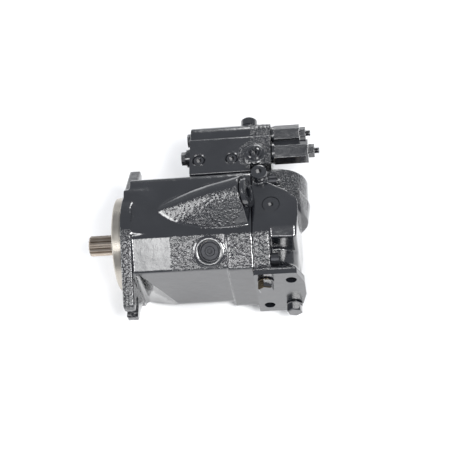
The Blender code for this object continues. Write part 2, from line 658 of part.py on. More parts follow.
def kidney(side, half_width):
    """A kidney-shaped port on the pistons' pitch circle, as (y, z) points."""
    outer = arc((0, 0), PITCH_RADIUS + half_width, -PORT_SWEEP, PORT_SWEEP, 8)
    inner = arc((0, 0), PITCH_RADIUS - half_width, PORT_SWEEP, -PORT_SWEEP, 8)
    return [(side * y, z) for y, z in outer + inner]


def pad_bolts():
    return [(PORT_X + i * BOLT_HALF_X, k * BOLT_HALF_Z) for i in (-1, 1) for k in (1, -1)]


def build_case_fittings():
    inner, depth = CAVITY_RADIUS + SEAL_GROOVE_INSET, SEAL_GROOVE_DEPTH
    outer = inner + SEAL_GROOVE_WIDTH
    groove = tube(HOUSING_LENGTH - depth, HOUSING_LENGTH + MM, inner, outer, 40)
    cut(bpy.data.objects["housing"], groove)
    ring = tube(HOUSING_LENGTH - depth + GAP, HOUSING_LENGTH - GAP, inner + GAP, outer - GAP, 40)
    piece("end_cap_seal", ring, SEAL_RUBBER)

    for i, (y, z) in enumerate(CAP_SCREW_PLACES, 1):
        at = (CAP_FACE + CAP_FLANGE + GAP, y, z)
        length = CAP_FLANGE + CAP_SCREW_GRIP + GAP
        socket_head_screw(
            f"end_cap_screw_{i}", at, ALONG_X, CAP_SCREW_RADIUS, length, CAP_SCREW_HEAD, 2 * CAP_SCREW_RADIUS
        )

    plate = prism(plate_outline(0), GAP, PLATE_THICKNESS)
    cover = piece("blanking_plate", plate, BLACK_PAINT, (PORT_X, -PAD_FACE, 0), AGAINST_Y)
    for x, z in pad_bolts():
        hole = disc(-MM, PLATE_THICKNESS + MM, PAD_BOLT_RADIUS + 2 * GAP, 16)
        cut(cover, hole, (x, -PAD_FACE, z), AGAINST_Y)
    for name, (x, z) in (("upper", pad_bolts()[0]), ("lower", pad_bolts()[3])):
        at = (x, -PAD_FACE - PLATE_THICKNESS - GAP, z)
        length = PAD_THICKNESS + PLATE_THICKNESS + GAP
        socket_head_screw(
            f"blanking_screw_{name}", at, AGAINST_Y, PAD_BOLT_RADIUS, length, PAD_BOLT_HEAD, 10.5 * MM
        )

    servo_plug = [
        (-SERVO_PLUG_DEPTH, 0),
        (-SERVO_PLUG_DEPTH, SERVO_PLUG_RADIUS),
        (GAP, SERVO_PLUG_RADIUS),
        (GAP, SERVO_HEAD_RADIUS),
        (SERVO_HEAD_HEIGHT - MM, SERVO_HEAD_RADIUS),
        (SERVO_HEAD_HEIGHT, SERVO_HEAD_RADIUS - MM),
        (SERVO_HEAD_HEIGHT, 0),
    ]
    socket_plug("servo_plug", SERVO_MOUTH, ALONG_SERVO, BLACK_PAINT, servo_plug, SERVO_SOCKET, 9 * MM, 28)
    drain_plug = straight_plug(-DRAIN_DEPTH, -3 * MM, DRAIN_RADIUS)
    socket_plug("drain_plug", FACET_CENTRE, OUT_OF_FACET, BRONZE, drain_plug, 4.6 * MM, 5 * MM, 24)
    passage_plug = straight_plug(-PASSAGE_PLUG_DEPTH, -GAP, PASSAGE_PLUG_RADIUS)
    at = (*PASSAGE_PLUG_AT, BOX_Z)
    socket_plug("passage_plug", at, ALONG_Z, BLACK_PAINT, passage_plug, 3 * MM, 3 * MM, 24)
    pilot_plug = [
        (-9 * MM, 0),
        (-9 * MM, PILOT_THREAD),
        (GAP, PILOT_THREAD),
        (GAP, PILOT_HEAD),
        (4 * MM, PILOT_HEAD),
        (6 * MM, PILOT_HEAD - 2.5 * MM),
        (6 * MM, 0),
    ]
    at = (*PILOT_PLUG_AT, BOX_Z + PILOT_PLUG_BOSS)
    socket_plug("pilot_plug", at, ALONG_Z, DARK_STEEL, pilot_plug, 3.5 * MM, 4 * MM)


def straight_plug(start, end, radius):
    return [(start, 0), (start, radius), (end, radius), (end, 0)]


# ---------------------------------------------------------------- drive shaft, bearings, seal
def build_shaft(axis):
    """The shaft as a stack of sections, each with one point per spline tip and root corner."""
    root, tip = SPLINE_RADIUS - SPLINE_DEPTH, SPLINE_RADIUS
    inner_root = SHAFT_RADIUS - INNER_SPLINE_DEPTH
    collar, collar_start = SHAFT_RADIUS + COLLAR_HEIGHT, FRONT_WALL - GAP
    collar_end = collar_start + COLLAR_WIDTH
    block_front, block_end = BLOCK_FRONT + SPRING_DEPTH + 2 * MM, BLOCK_REAR - 4 * MM
    bearing_end = CAP_FACE + BEARING_WIDTH + MM
    sections = [
        (-SHAFT_REACH, root - 0.4 * MM, tip - 1.4 * MM),
        (1.3 * MM - SHAFT_REACH, root, tip),
        (-PILOT_HEIGHT - 8 * MM, root, tip),
        (-PILOT_HEIGHT - 5 * MM, tip, tip),
        (-PILOT_HEIGHT - 3 * MM, tip, tip),
        (-PILOT_HEIGHT - 2 * MM, SHAFT_RADIUS, SHAFT_RADIUS),
        (collar_start, SHAFT_RADIUS, SHAFT_RADIUS),
        (collar_start, collar, collar),
        (collar_end, collar, collar),
        (collar_end, SHAFT_RADIUS, SHAFT_RADIUS),
        (block_front - 2 * MM, SHAFT_RADIUS, SHAFT_RADIUS),
        (block_front, inner_root, SHAFT_RADIUS),
        (block_end, inner_root, SHAFT_RADIUS),
        (block_end + 2 * MM, inner_root, inner_root),
        (CAP_FACE - 2 * MM, JOURNAL_RADIUS + 2 * GAP, JOURNAL_RADIUS + 2 * GAP),
        (CAP_FACE, JOURNAL_RADIUS, JOURNAL_RADIUS),
        (bearing_end, JOURNAL_RADIUS, JOURNAL_RADIUS),
        (bearing_end + MM, JOURNAL_RADIUS - MM, JOURNAL_RADIUS - MM),
    ]
    bm = bmesh.new()
    loops = []
    for x, low, high in sections:
        loop = []
        for i in range(4 * SPLINE_TEETH):
            radius = high if i % 4 < 2 else low
            share = (i // 4 + (0.0, 0.36, 0.5, 0.86)[i % 4]) / SPLINE_TEETH
            loop.append(bm.verts.new((x, radius * math.cos(TURN * share), radius * math.sin(TURN * share))))
        loops.append(loop)
    for near, far in zip(loops, loops[1:]):
        for i in range(len(near)):
            k = (i + 1) % len(near)
            bm.faces.new((near[i], near[k], far[k], far[i]))
    bm.faces.new(loops[0])
    bm.faces.new(loops[-1])
    piece("drive_shaft", bm, BRIGHT_STEEL, parent=axis)


def build_bearings(axis):
    for name, journal, wall, start, wide_end in (
        ("front", SHAFT_RADIUS, BEARING_WALL, FRONT_WALL - BEARING_WIDTH - GAP, 1),
        ("rear", JOURNAL_RADIUS, REAR_BEARING_WALL, CAP_FACE + REAR_BEARING_SETBACK, -1),
    ):
        end = start + BEARING_WIDTH
        middle, lean = journal + 0.62 * wall, ROLLER_LEAN * wide_end
        low, high = middle - lean, middle + lean
        cup = [
            (start, low + GAP),
            (start, journal + wall),
            (end - 2 * MM, journal + wall),
            (end - 2 * MM, high + GAP),
        ]
        cone = [
            (start + MM, journal + GAP),
            (start + MM, low - GAP),
            (end - GAP, high - GAP),
            (end - GAP, journal + GAP),
        ]
        piece(f"{name}_bearing_cup", turned(cup, 28, ring=True), BRIGHT_STEEL)
        piece(f"{name}_bearing_cone", turned(cone, 28, ring=True), BRIGHT_STEEL, parent=axis)
    lip, seal_end = SHAFT_RADIUS + GAP, SEAL_WIDTH - PILOT_HEIGHT
    seal = [
        (-PILOT_HEIGHT + GAP, lip + 2 * MM),
        (-PILOT_HEIGHT + GAP, SEAL_RADIUS),
        (seal_end, SEAL_RADIUS),
        (seal_end, lip + 3 * MM),
        (seal_end - SEAL_WIDTH / 2, lip),
    ]
    piece("shaft_seal", turned(seal, 28, ring=True), SEAL_RUBBER)


# ---------------------------------------------------------------- rotating group
def build_rotating_group(axis, slide):
    bore_end = BLOCK_FRONT + PISTON_LENGTH - BLOCK_LEAD + GROUP_TRAVEL + 2 * MM
    centre_bore = SHAFT_RADIUS + GAP
    spring_bore = SHAFT_RADIUS + SPRING_ROOM
    spring_end = BLOCK_FRONT + SPRING_DEPTH
    section = [
        (BLOCK_FRONT, spring_bore),
        (BLOCK_FRONT, BLOCK_RADIUS - BLOCK_CHAMFER),
        (BLOCK_FRONT + BLOCK_CHAMFER, BLOCK_RADIUS),
        (BLOCK_REAR, BLOCK_RADIUS),
        (BLOCK_REAR, centre_bore),
        (spring_end, centre_bore),
        (spring_end, spring_bore),
    ]
    block = piece("cylinder_block", turned(section, 36, ring=True), BRIGHT_STEEL, parent=axis)
    bore = [
        (BLOCK_FRONT - MM, 0),
        (BLOCK_FRONT - MM, PISTON_RADIUS + GAP),
        (bore_end, PISTON_RADIUS + GAP),
        (bore_end, BLOCK_PORT),
        (BLOCK_REAR + MM, BLOCK_PORT),
        (BLOCK_REAR + MM, 0),
    ]
    for y, z in polygon(PITCH_RADIUS, PISTON_COUNT):
        cut(block, turned(bore, 14), (0, y, z))
    spring_radius = SHAFT_RADIUS + SPRING_ROOM - 3 * MM
    coil_spring("block_spring", GUIDE_END, spring_end, spring_radius, 1.4 * MM, 4, (0, 0, 0), axis)

    start = SWASH_FACE + 2 * MM
    first = math.acos((start - PIVOT_X) / GUIDE_RADIUS)
    last = math.acos(GUIDE_REACH / GUIDE_RADIUS)
    dome = [
        (PIVOT_X + GUIDE_RADIUS * math.cos(a), GUIDE_RADIUS * math.sin(a))
        for a in (first + (last - first) * i / 6 for i in range(7))
    ]
    guide = [(start, centre_bore), *dome, (GUIDE_END, centre_bore)]
    piece("ball_guide", turned(guide, 24, ring=True), BRIGHT_STEEL, parent=slide)

    shoe = SWASH_FACE + GAP
    rim = PITCH_RADIUS + SLIPPER_RADIUS + 0.4 * MM
    ring = tube(shoe + SLIPPER_FOOT + 0.4 * MM, PIVOT_X + MM, GUIDE_RADIUS + GAP, rim, 36)
    plate = piece("retainer_plate", ring, BRIGHT_STEEL, parent=slide)
    for y, z in polygon(PITCH_RADIUS, PISTON_COUNT):
        cut(plate, disc(SWASH_FACE, PIVOT_X + 3 * MM, SLIPPER_NECK + GAP, 14), (0, y, z))
    waist, barrel_start = 0.55 * SLIPPER_RADIUS, PIVOT_X + 8 * MM
    barrel_end = PIVOT_X + PISTON_LENGTH
    body = [
        (shoe, 0),
        (shoe, SLIPPER_RADIUS),
        (shoe + SLIPPER_FOOT, SLIPPER_RADIUS),
        (shoe + SLIPPER_FOOT, SLIPPER_NECK),
        (PIVOT_X + 3 * MM, SLIPPER_NECK),
        (PIVOT_X + 5 * MM, waist),
        (barrel_start, waist),
        (barrel_start + MM, PISTON_RADIUS),
        (barrel_end, PISTON_RADIUS),
        (barrel_end, PISTON_BORE),
        (PIVOT_X + 18 * MM, PISTON_BORE),
        (PIVOT_X + 18 * MM, 0),
    ]
    for i, (y, z) in enumerate(polygon(PITCH_RADIUS, PISTON_COUNT), 1):
        piece(f"piston_{i}", turned(body, 14), BRIGHT_STEEL, (0, y, z), parent=slide)


def build_valve_plate():
    start = BLOCK_REAR + GAP
    inner = JOURNAL_RADIUS + REAR_BEARING_WALL + 2 * GAP
    plate = piece("valve_plate", tube(start, HOUSING_LENGTH - GAP, inner, BLOCK_RADIUS, 36), BRONZE)
    for side in (-1, 1):
        cut(plate, prism(kidney(side, PLATE_PORT_HALF), start - MM, HOUSING_LENGTH + MM))


# ---------------------------------------------------------------- swashplate and its actuators
def build_swashplate(axis):
    section = [
        (PLATE_FRONT, 0),
        (PLATE_FRONT, SWASH_RIM - 2 * MM),
        (SWASH_FACE - 2 * MM, SWASH_RIM),
        (SWASH_FACE, SWASH_RIM),
        (SWASH_FACE, 0),
    ]
    swash = piece("swashplate", turned(section, 36), BRIGHT_STEEL, parent=axis)
    half = math.degrees(math.acos((PIVOT_X - PLATE_FRONT - 2 * MM) / CRADLE_RADIUS))
    rocker = [(-x, z) for x, z in arc((PIVOT_X, 0), CRADLE_RADIUS, 180 - half, 180 + half, 14)]
    for side in (-1, 1):
        inner, outer = sorted((side * CRADLE_INSET, side * (CRADLE_INSET + CRADLE_WIDTH)))
        add(swash, prism(rocker, inner, outer), turn=ALONG_Y)
    low = (LUG_FRONT, SERVO_SIDE - LUG_HALF_WIDTH, SWASH_RIM / 2)
    high = (SWASH_FACE, SERVO_SIDE + LUG_HALF_WIDTH, SERVO_LEVER + SERVO_NOSE)
    add(swash, slab(low, high))
    clear = SHAFT_RADIUS + (PIVOT_X - PLATE_FRONT) * math.tan(SWASH_ANGLE) + 1.5 * MM
    cut(swash, disc(PLATE_FRONT - 2.1 * MM, SWASH_FACE + MM, clear, 28))

    start, end = 180 - SEAT_ANGLE, 180 + SEAT_ANGLE
    strip = arc((PIVOT_X, 0), CRADLE_RADIUS + GAP, start, end, 10)
    strip += arc((PIVOT_X, 0), CRADLE_RADIUS + GAP + BEARING_STRIP, end, start, 10)
    strip = [(-x, z) for x, z in strip]
    for name, side in (("left", -1), ("right", 1)):
        inner, outer = sorted((side * (CRADLE_INSET + 2 * MM), side * (CRADLE_INSET + CRADLE_WIDTH - 2 * MM)))
        piece(f"cradle_bearing_{name}", prism(strip, inner, outer), BRONZE, turn=ALONG_Y)


def build_actuators(servo, bias):
    quarter = [math.pi * (1 - i / 8) for i in range(5)]
    tip = [(SERVO_NOSE_AT + SERVO_NOSE * math.cos(a), SERVO_NOSE * math.sin(a)) for a in quarter]
    rod_end = SERVO_NOSE_AT + SERVO_ROD
    tail = -SERVO_PLUG_DEPTH - GAP - servo_travel() - MM
    body = [
        *tip,
        (rod_end, SERVO_NOSE),
        (rod_end, SERVO_RADIUS),
        (tail, SERVO_RADIUS),
        (tail, SERVO_STOP),
        (tail - SERVO_STOP_LENGTH, SERVO_STOP),
        (tail - SERVO_STOP_LENGTH, 0),
    ]
    piece("servo_piston", turned(body, 18), BRIGHT_STEEL, SERVO_MOUTH, ALONG_SERVO, servo)

    tip_x = PLATE_FRONT - GAP - BIAS_NOSE
    spring_end, wall = FRONT_WALL + 3 * MM, BIAS_RADIUS - BIAS_WALL
    skirt = FRONT_WALL - 3 * MM
    cup = [
        (spring_end, 0),
        (spring_end, wall),
        (skirt, wall),
        (skirt, BIAS_RADIUS),
        (tip_x - 4 * MM, BIAS_RADIUS),
        (tip_x - 2 * MM, BIAS_NOSE),
        *arc((tip_x, 0), BIAS_NOSE, 90, 0, 4),
    ]
    piece("bias_piston", turned(cup, 18), BRIGHT_STEEL, (0, 0, BIAS_HEIGHT), parent=bias)
    spring_start = FRONT_WALL - BIAS_DEPTH
    coil_spring("bias_spring", spring_start, spring_end, wall - 1.3 * MM, 0.9 * MM, 4, (0, 0, BIAS_HEIGHT))


def servo_travel():
    """How far the stroking piston moves for the swashplate's full tilt, its nose staying on the plate."""
    behind = BALL_TO_FACE - SERVO_NOSE - GAP
    rise = SERVO_LEVER * math.sin(SWASH_ANGLE) - behind * (1 - math.cos(SWASH_ANGLE))
    return rise / math.cos(SERVO_TILT + SWASH_ANGLE)


# ---------------------------------------------------------------- control valve
def build_control():
    height, step = CONTROL_HEIGHT, HOUSING_LENGTH - 2 * MM
    outline = [
        (CONTROL_START, FOOT_BOTTOM),
        (step, FOOT_BOTTOM),
        (step, FOOT_BOTTOM + OVERHANG_LIFT),
        (CONTROL_END, FOOT_BOTTOM + OVERHANG_LIFT),
        (CONTROL_END, CONTROL_TOP),
        (CONTROL_START, CONTROL_TOP),
    ]
    body = piece("control_body", prism([(y, -x) for x, y in outline], 0, height), VALVE_PAINT, turn=ALONG_Z)
    # the far side is rounded over the pressure spool
    shoulder = CONTROL_TOP - PC_Y
    over = [(PC_Y - 10 * MM, height + MM), (PC_Y - 10 * MM, SPOOL_HEIGHT + shoulder + 2 * MM)]
    over += arc((PC_Y, SPOOL_HEIGHT), shoulder, 90, 5, 7)
    over += [(CONTROL_TOP + MM, SPOOL_HEIGHT), (CONTROL_TOP + MM, height + MM)]
    cut(body, prism(over, CONTROL_START - MM, CONTROL_END + MM))
    seat = (SENSE_X, 0, SPOOL_HEIGHT)
    add(body, disc(PC_Y + 7 * MM, CONTROL_TOP, SENSE_BOSS_RADIUS, 24), seat, ALONG_Y)
    add(body, disc(-6 * MM, LS_BOSS, LS_BOSS_RADIUS, 24), (CONTROL_START, LS_Y, SPOOL_HEIGHT), AGAINST_X)
    boss = disc(height - 4 * MM, height + GALLERY_BOSS, GALLERY_BOSS_RADIUS, 24)
    add(body, boss, (*GALLERY_PLACES[2], 0), ALONG_Z)
    for y, start in ((PC_Y, CONTROL_START), (LS_Y, CONTROL_START - LS_BOSS)):
        plug_end, spigot_start = start + SPOOL_PLUG_DEPTH, CONTROL_END - ADJUSTER_SEAT - MM
        bore = [
            (start - MM, 0),
            (start - MM, SPOOL_PLUG_RADIUS + GAP),
            (plug_end, SPOOL_PLUG_RADIUS + GAP),
            (plug_end, SPOOL_RADIUS + GAP),
            (spigot_start, SPOOL_RADIUS + GAP),
            (spigot_start, ADJUSTER_SPIGOT + GAP),
            (CONTROL_END + MM, ADJUSTER_SPIGOT + GAP),
            (CONTROL_END + MM, 0),
        ]
        cut(body, turned(bore, 18), (0, y, SPOOL_HEIGHT))
    for x, y in GALLERY_PLACES[:2]:
        hole = [
            (height - GALLERY_DEPTH, 0),
            (height - GALLERY_DEPTH, GALLERY_RADIUS + GAP),
            (height - GALLERY_SINK, GALLERY_RADIUS + GAP),
            (height - GALLERY_SINK, GALLERY_RIM),
            (height + MM, GALLERY_RIM),
            (height + MM, 0),
        ]
        cut(body, turned(hole, 20), (x, y, 0), ALONG_Z)
    side_top = height + GALLERY_BOSS
    side_hole = disc(side_top - GALLERY_DEPTH, side_top + MM, SIDE_PLUG_RADIUS + GAP)
    cut(body, side_hole, (*GALLERY_PLACES[2], 0), ALONG_Z)
    screw_seat = CONTROL_TOP - CONTROL_SCREW_SEAT
    for x, z in CONTROL_SCREW_PLACES:
        hole = [
            (FOOT_BOTTOM - MM, 0),
            (FOOT_BOTTOM - MM, CONTROL_SCREW_RADIUS + GAP),
            (screw_seat, CONTROL_SCREW_RADIUS + GAP),
            (screw_seat, CONTROL_SCREW_HEAD + 0.4 * MM),
            (CONTROL_TOP + MM, CONTROL_SCREW_HEAD + 0.4 * MM),
            (CONTROL_TOP + MM, 0),
        ]
        cut(body, turned(hole, 14), (x, 0, z), ALONG_Y)
    cut(body, disc(CONTROL_TOP - SENSE_SEAT, CONTROL_TOP + MM, SENSE_THREAD + GAP, 16), seat, ALONG_Y)


def build_control_fittings(spools, adjusters):
    screw_seat = CONTROL_TOP - CONTROL_SCREW_SEAT
    length = screw_seat - FOOT_BOTTOM + CONTROL_SCREW_GRIP
    for i, (x, z) in enumerate(CONTROL_SCREW_PLACES, 1):
        at = (x, screw_seat + GAP, z)
        socket_head_screw(
            f"control_screw_{i}", at, ALONG_Y, CONTROL_SCREW_RADIUS, length, CONTROL_SCREW_HEAD, 6 * MM
        )
    for i, (x, y) in enumerate(GALLERY_PLACES, 1):
        top, radius = CONTROL_HEIGHT, GALLERY_RADIUS
        if i == 3:
            top, radius = CONTROL_HEIGHT + GALLERY_BOSS, SIDE_PLUG_RADIUS
        plug = [
            (MM / 2 - GALLERY_DEPTH, 0),
            (MM / 2 - GALLERY_DEPTH, radius),
            (GAP, radius),
            (MM, radius - 0.8 * MM),
            (MM, 0),
        ]
        socket_plug(f"gallery_plug_{i}", (x, y, top), ALONG_Z, DARK_STEEL, plug, 3 * MM, 4 * MM)
    knob = [
        (MM / 2 - SENSE_SEAT, 0),
        (MM / 2 - SENSE_SEAT, SENSE_THREAD),
        (GAP, SENSE_THREAD),
        (GAP, SENSE_BOSS_RADIUS - MM),
        (9 * MM, SENSE_BOSS_RADIUS - MM),
        (11 * MM, SENSE_BOSS_RADIUS - 3 * MM),
        (11 * MM, 0),
    ]
    at = (SENSE_X, CONTROL_TOP, SPOOL_HEIGHT)
    socket_plug("load_sense_plug", at, ALONG_Y, DARK_STEEL, knob, 3.5 * MM, 5 * MM)

    for name, y, start, plug_head, barrel_radius, barrel in (
        ("pc", PC_Y, CONTROL_START, 4 * MM, 10.8 * MM, 31 * MM),
        ("ls", LS_Y, CONTROL_START - LS_BOSS, 5.5 * MM, 13 * MM, 40 * MM),
    ):
        build_valve_line(name, y, start, plug_head, barrel_radius, barrel, spools[name], adjusters[name])


def build_valve_line(name, y, start, plug_head, barrel_radius, barrel, slide, adjuster):
    """A spool with its end plug, spring, adjuster barrel, lock nut and setting screw."""
    mouth, seat = (start, y, SPOOL_HEIGHT), (CONTROL_END, y, SPOOL_HEIGHT)
    plug_thread = disc(1.2 * MM, SPOOL_PLUG_DEPTH - GAP, SPOOL_PLUG_RADIUS, 18)
    plug = piece(f"{name}_spool_plug", plug_thread, DARK_STEEL, mouth)
    head_start = -plug_head - GAP
    add(plug, prism(polygon(SPOOL_PLUG_HEX, 6), head_start, -GAP), mouth)
    add(plug, disc(head_start + MM, 4 * MM, 5 * MM, 18), mouth)

    lands = [
        (0, 0),
        (0, SPOOL_RADIUS),
        (14 * MM, SPOOL_RADIUS),
        (16 * MM, SPOOL_WAIST),
        (22 * MM, SPOOL_WAIST),
        (24 * MM, SPOOL_RADIUS),
        (SPOOL_LENGTH, SPOOL_RADIUS),
        (SPOOL_LENGTH, 0),
    ]
    piece(f"{name}_spool", turned(lands, 16), BRIGHT_STEEL, (SPOOL_START, y, SPOOL_HEIGHT), parent=slide)

    flats = prism(polygon(barrel_radius, 6, math.pi / 6), 2.5 * MM, barrel)
    sleeve = piece(f"{name}_adjuster_barrel", flats, VALVE_PAINT, seat)
    add(sleeve, disc(GAP, 4 * MM, 0.97 * barrel_radius, 24), seat)
    add(sleeve, disc(-ADJUSTER_SEAT, 2 * MM, ADJUSTER_SPIGOT, 20), seat)
    bore = [
        (-ADJUSTER_SEAT - MM, 0),
        (-ADJUSTER_SEAT - MM, ADJUSTER_BORE),
        (barrel - ADJUSTER_THREAD, ADJUSTER_BORE),
        (barrel - ADJUSTER_THREAD, ADJUSTER_SCREW + GAP),
        (barrel + MM, ADJUSTER_SCREW + GAP),
        (barrel + MM, 0),
    ]
    cut(sleeve, turned(bore, 16), seat)
    hexagon = prism(polygon(LOCK_NUT_HEX, 6, math.pi / 6), barrel + GAP, barrel + LOCK_NUT_HEIGHT)
    nut = piece(f"{name}_lock_nut", hexagon, DARK_STEEL, seat)
    cut(nut, disc(barrel, barrel + LOCK_NUT_HEIGHT + MM, ADJUSTER_SCREW + GAP, 16), seat)

    spring_seat, screw_tip = barrel - SPRING_SEAT, barrel + ADJUSTER_TIP
    stem = [
        (spring_seat, 0),
        (spring_seat, ADJUSTER_BORE - 0.4 * MM),
        (spring_seat + 4 * MM, ADJUSTER_BORE - 0.4 * MM),
        (spring_seat + 4 * MM, ADJUSTER_SCREW),
        (screw_tip, ADJUSTER_SCREW),
        (screw_tip, 0),
    ]
    screw = piece(f"{name}_adjust_screw", turned(stem, 16), DARK_STEEL, seat, parent=adjuster)
    cut(screw, prism(polygon(1.7 * MM, 6), screw_tip - 3 * MM, screw_tip + MM), seat)
    spring_start, spring_end = SPOOL_START + SPOOL_LENGTH, CONTROL_END + spring_seat
    at = (0, y, SPOOL_HEIGHT)
    coil_spring(f"{name}_spring", spring_start, spring_end, 3.7 * MM, 0.8 * MM, 8, at)


# ---------------------------------------------------------------- the pump
shaft_axis = pivot("shaft_axis", (0, 0, 0))
piston_slide = pivot("piston_slide", (PIVOT_X, 0, 0), parent=shaft_axis)
swash_axis = pivot("swash_axis", (PIVOT_X, 0, 0))
servo_slide = pivot("servo_slide", SERVO_MOUTH, ALONG_SERVO)
bias_slide = pivot("bias_slide", (FRONT_WALL, 0, BIAS_HEIGHT))
spool_slides = {
    "pc": pivot("pc_spool_slide", (CONTROL_START, PC_Y, SPOOL_HEIGHT)),
    "ls": pivot("ls_spool_slide", (CONTROL_START, LS_Y, SPOOL_HEIGHT)),
}
adjuster_axes = {
    "pc": pivot("pc_adjuster_axis", (CONTROL_END, PC_Y, SPOOL_HEIGHT)),
    "ls": pivot("ls_adjuster_axis", (CONTROL_END, LS_Y, SPOOL_HEIGHT)),
}
bpy.context.view_layer.update()

build_housing()
build_end_cap()
build_case_fittings()
build_shaft(shaft_axis)
build_bearings(shaft_axis)
build_rotating_group(shaft_axis, piston_slide)
build_valve_plate()
build_swashplate(swash_axis)
build_actuators(servo_slide, bias_slide)
build_control()
build_control_fittings(spool_slides, adjuster_axes)
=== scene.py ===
import json
import math

import bpy
from mathutils import Matrix, Vector


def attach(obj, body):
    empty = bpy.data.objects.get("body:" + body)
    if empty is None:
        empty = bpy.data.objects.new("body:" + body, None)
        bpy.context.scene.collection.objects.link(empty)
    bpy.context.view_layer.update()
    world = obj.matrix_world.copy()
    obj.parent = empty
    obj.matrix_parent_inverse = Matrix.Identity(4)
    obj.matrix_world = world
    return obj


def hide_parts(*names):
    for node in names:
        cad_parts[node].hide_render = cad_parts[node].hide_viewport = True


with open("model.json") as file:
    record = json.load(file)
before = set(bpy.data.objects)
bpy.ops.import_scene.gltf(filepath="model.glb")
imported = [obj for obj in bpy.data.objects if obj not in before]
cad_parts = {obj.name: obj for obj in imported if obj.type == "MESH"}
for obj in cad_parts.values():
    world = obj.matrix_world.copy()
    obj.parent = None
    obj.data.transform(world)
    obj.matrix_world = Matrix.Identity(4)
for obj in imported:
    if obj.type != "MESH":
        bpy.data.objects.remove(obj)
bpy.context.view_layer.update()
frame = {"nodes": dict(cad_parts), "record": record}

# ---------------------------------------------------------------- camera, light and floor
# The pump stands on a white table under soft light from the camera's side, with a dimmer room around it.
# Colours are shown as they are, with no film-like curve.
scene = bpy.context.scene
scene.view_settings.view_transform = "Standard"

bpy.ops.object.select_all(action="DESELECT")
bpy.ops.object.camera_add(location=(0.2352, -0.6699, 1.1144))
camera = bpy.context.object
right = Vector((0.993, 0.001, -0.115))
up = Vector((0.059, 0.853, 0.519))
back = Vector((0.098, -0.523, 0.847))
camera.rotation_euler = Matrix((right, up, back)).transposed().to_euler()
camera.data.lens = 96.7
camera.data.sensor_width = 36
camera.data.clip_start = 0.05
scene.camera = camera


def to_linear(hex_colour):
    """An sRGB hex colour as linear red, green, blue and alpha."""
    channels = [int(hex_colour[i:i + 2], 16) / 255 for i in (1, 3, 5)]
    return [c / 12.92 if c <= 0.04045 else ((c + 0.055) / 1.055) ** 2.4 for c in channels] + [1.0]


def add_node(material, kind, settings=None, links=None, values=None):
    """Adds a node with its settings, its sockets' values, and links from other nodes' outputs."""
    node = material.node_tree.nodes.new(kind)
    for name, value in (settings or {}).items():
        setattr(node, name, value)
    for name, value in (values or {}).items():
        node.inputs[name].default_value = value
    for name, output in (links or {}).items():
        material.node_tree.links.new(output, node.inputs[name])
    return node


def new_material(name):
    """A material with an empty node tree but for the Principled shader."""
    material = bpy.data.materials.new(name)
    material.use_nodes = True
    return material, material.node_tree.nodes["Principled BSDF"]


table_laminate, shader = new_material("white_table_laminate")
position = add_node(table_laminate, "ShaderNodeTexCoord")
speckle = add_node(table_laminate, "ShaderNodeTexNoise", links={"Vector": position.outputs["Object"]},
                   values={"Scale": 9.0, "Detail": 3.0})
shade = add_node(table_laminate, "ShaderNodeMix", {"data_type": "RGBA"},
                 {0: speckle.outputs["Fac"]}, {6: to_linear("#f4f4f5"), 7: to_linear("#fafafa")})
table_laminate.node_tree.links.new(shade.outputs[2], shader.inputs["Base Color"])
shader.inputs["Roughness"].default_value = 0.6

table_height = -0.0578  # just under the lowest casting
bpy.ops.mesh.primitive_plane_add(size=8, location=(0, 0, table_height))
floor = bpy.context.object
floor.name = "table"
floor.data.materials.append(table_laminate)

world = bpy.data.worlds.new("room")
world.use_nodes = True
world.node_tree.nodes["Background"].inputs["Color"].default_value = to_linear("#dfe3ea")
world.node_tree.nodes["Background"].inputs["Strength"].default_value = 0.5
scene.world = world

pump_middle = Vector((0.08, 0, 0))
for name, place, size, power in (
    ("softbox_right", (0.75, -0.75, 1.3), 0.55, 26),
    ("reflector_by_camera", (-0.08, -0.96, 1.38), 0.42, 4.2),
    ("softbox_left", (-1.1, -0.3, 0.9), 0.7, 14),
    ("softbox_behind", (0.25, 1.5, 0.75), 0.5, 7),
):
    bpy.ops.object.light_add(type="AREA", location=place)
    lamp = bpy.context.object
    lamp.name = name
    lamp.data.size = size
    lamp.data.energy = power
    lamp.rotation_euler = (pump_middle - Vector(place)).to_track_quat("-Z", "Y").to_euler()

# ---------------------------------------------------------------- pump housing
# The housing is grey iron, sand cast, with the flange, joint face, bores and spot faces machined afterwards.
# It is sprayed glossy black over smooth and sandy skin alike; the pilot and the faces that seal stay bare.
mm = 0.001
forward = (1, 0, 0)
to_valve = (0, 1, 0)
to_port = (0, -1, 0)
upward = (0, 0, 1)


def clear_selection():
    """Leaves edit mode and deselects everything, so that an operator takes only what it is given."""
    if bpy.context.object and bpy.context.object.mode != "OBJECT":
        bpy.ops.object.mode_set(mode="OBJECT")
    bpy.ops.object.select_all(action="DESELECT")


def bake_place(piece):
    """Puts the piece's place into its mesh, so that its object sits at the origin."""
    clear_selection()
    piece.select_set(True)
    bpy.context.view_layer.objects.active = piece
    bpy.ops.object.transform_apply(location=True, rotation=True, scale=True)
    return piece


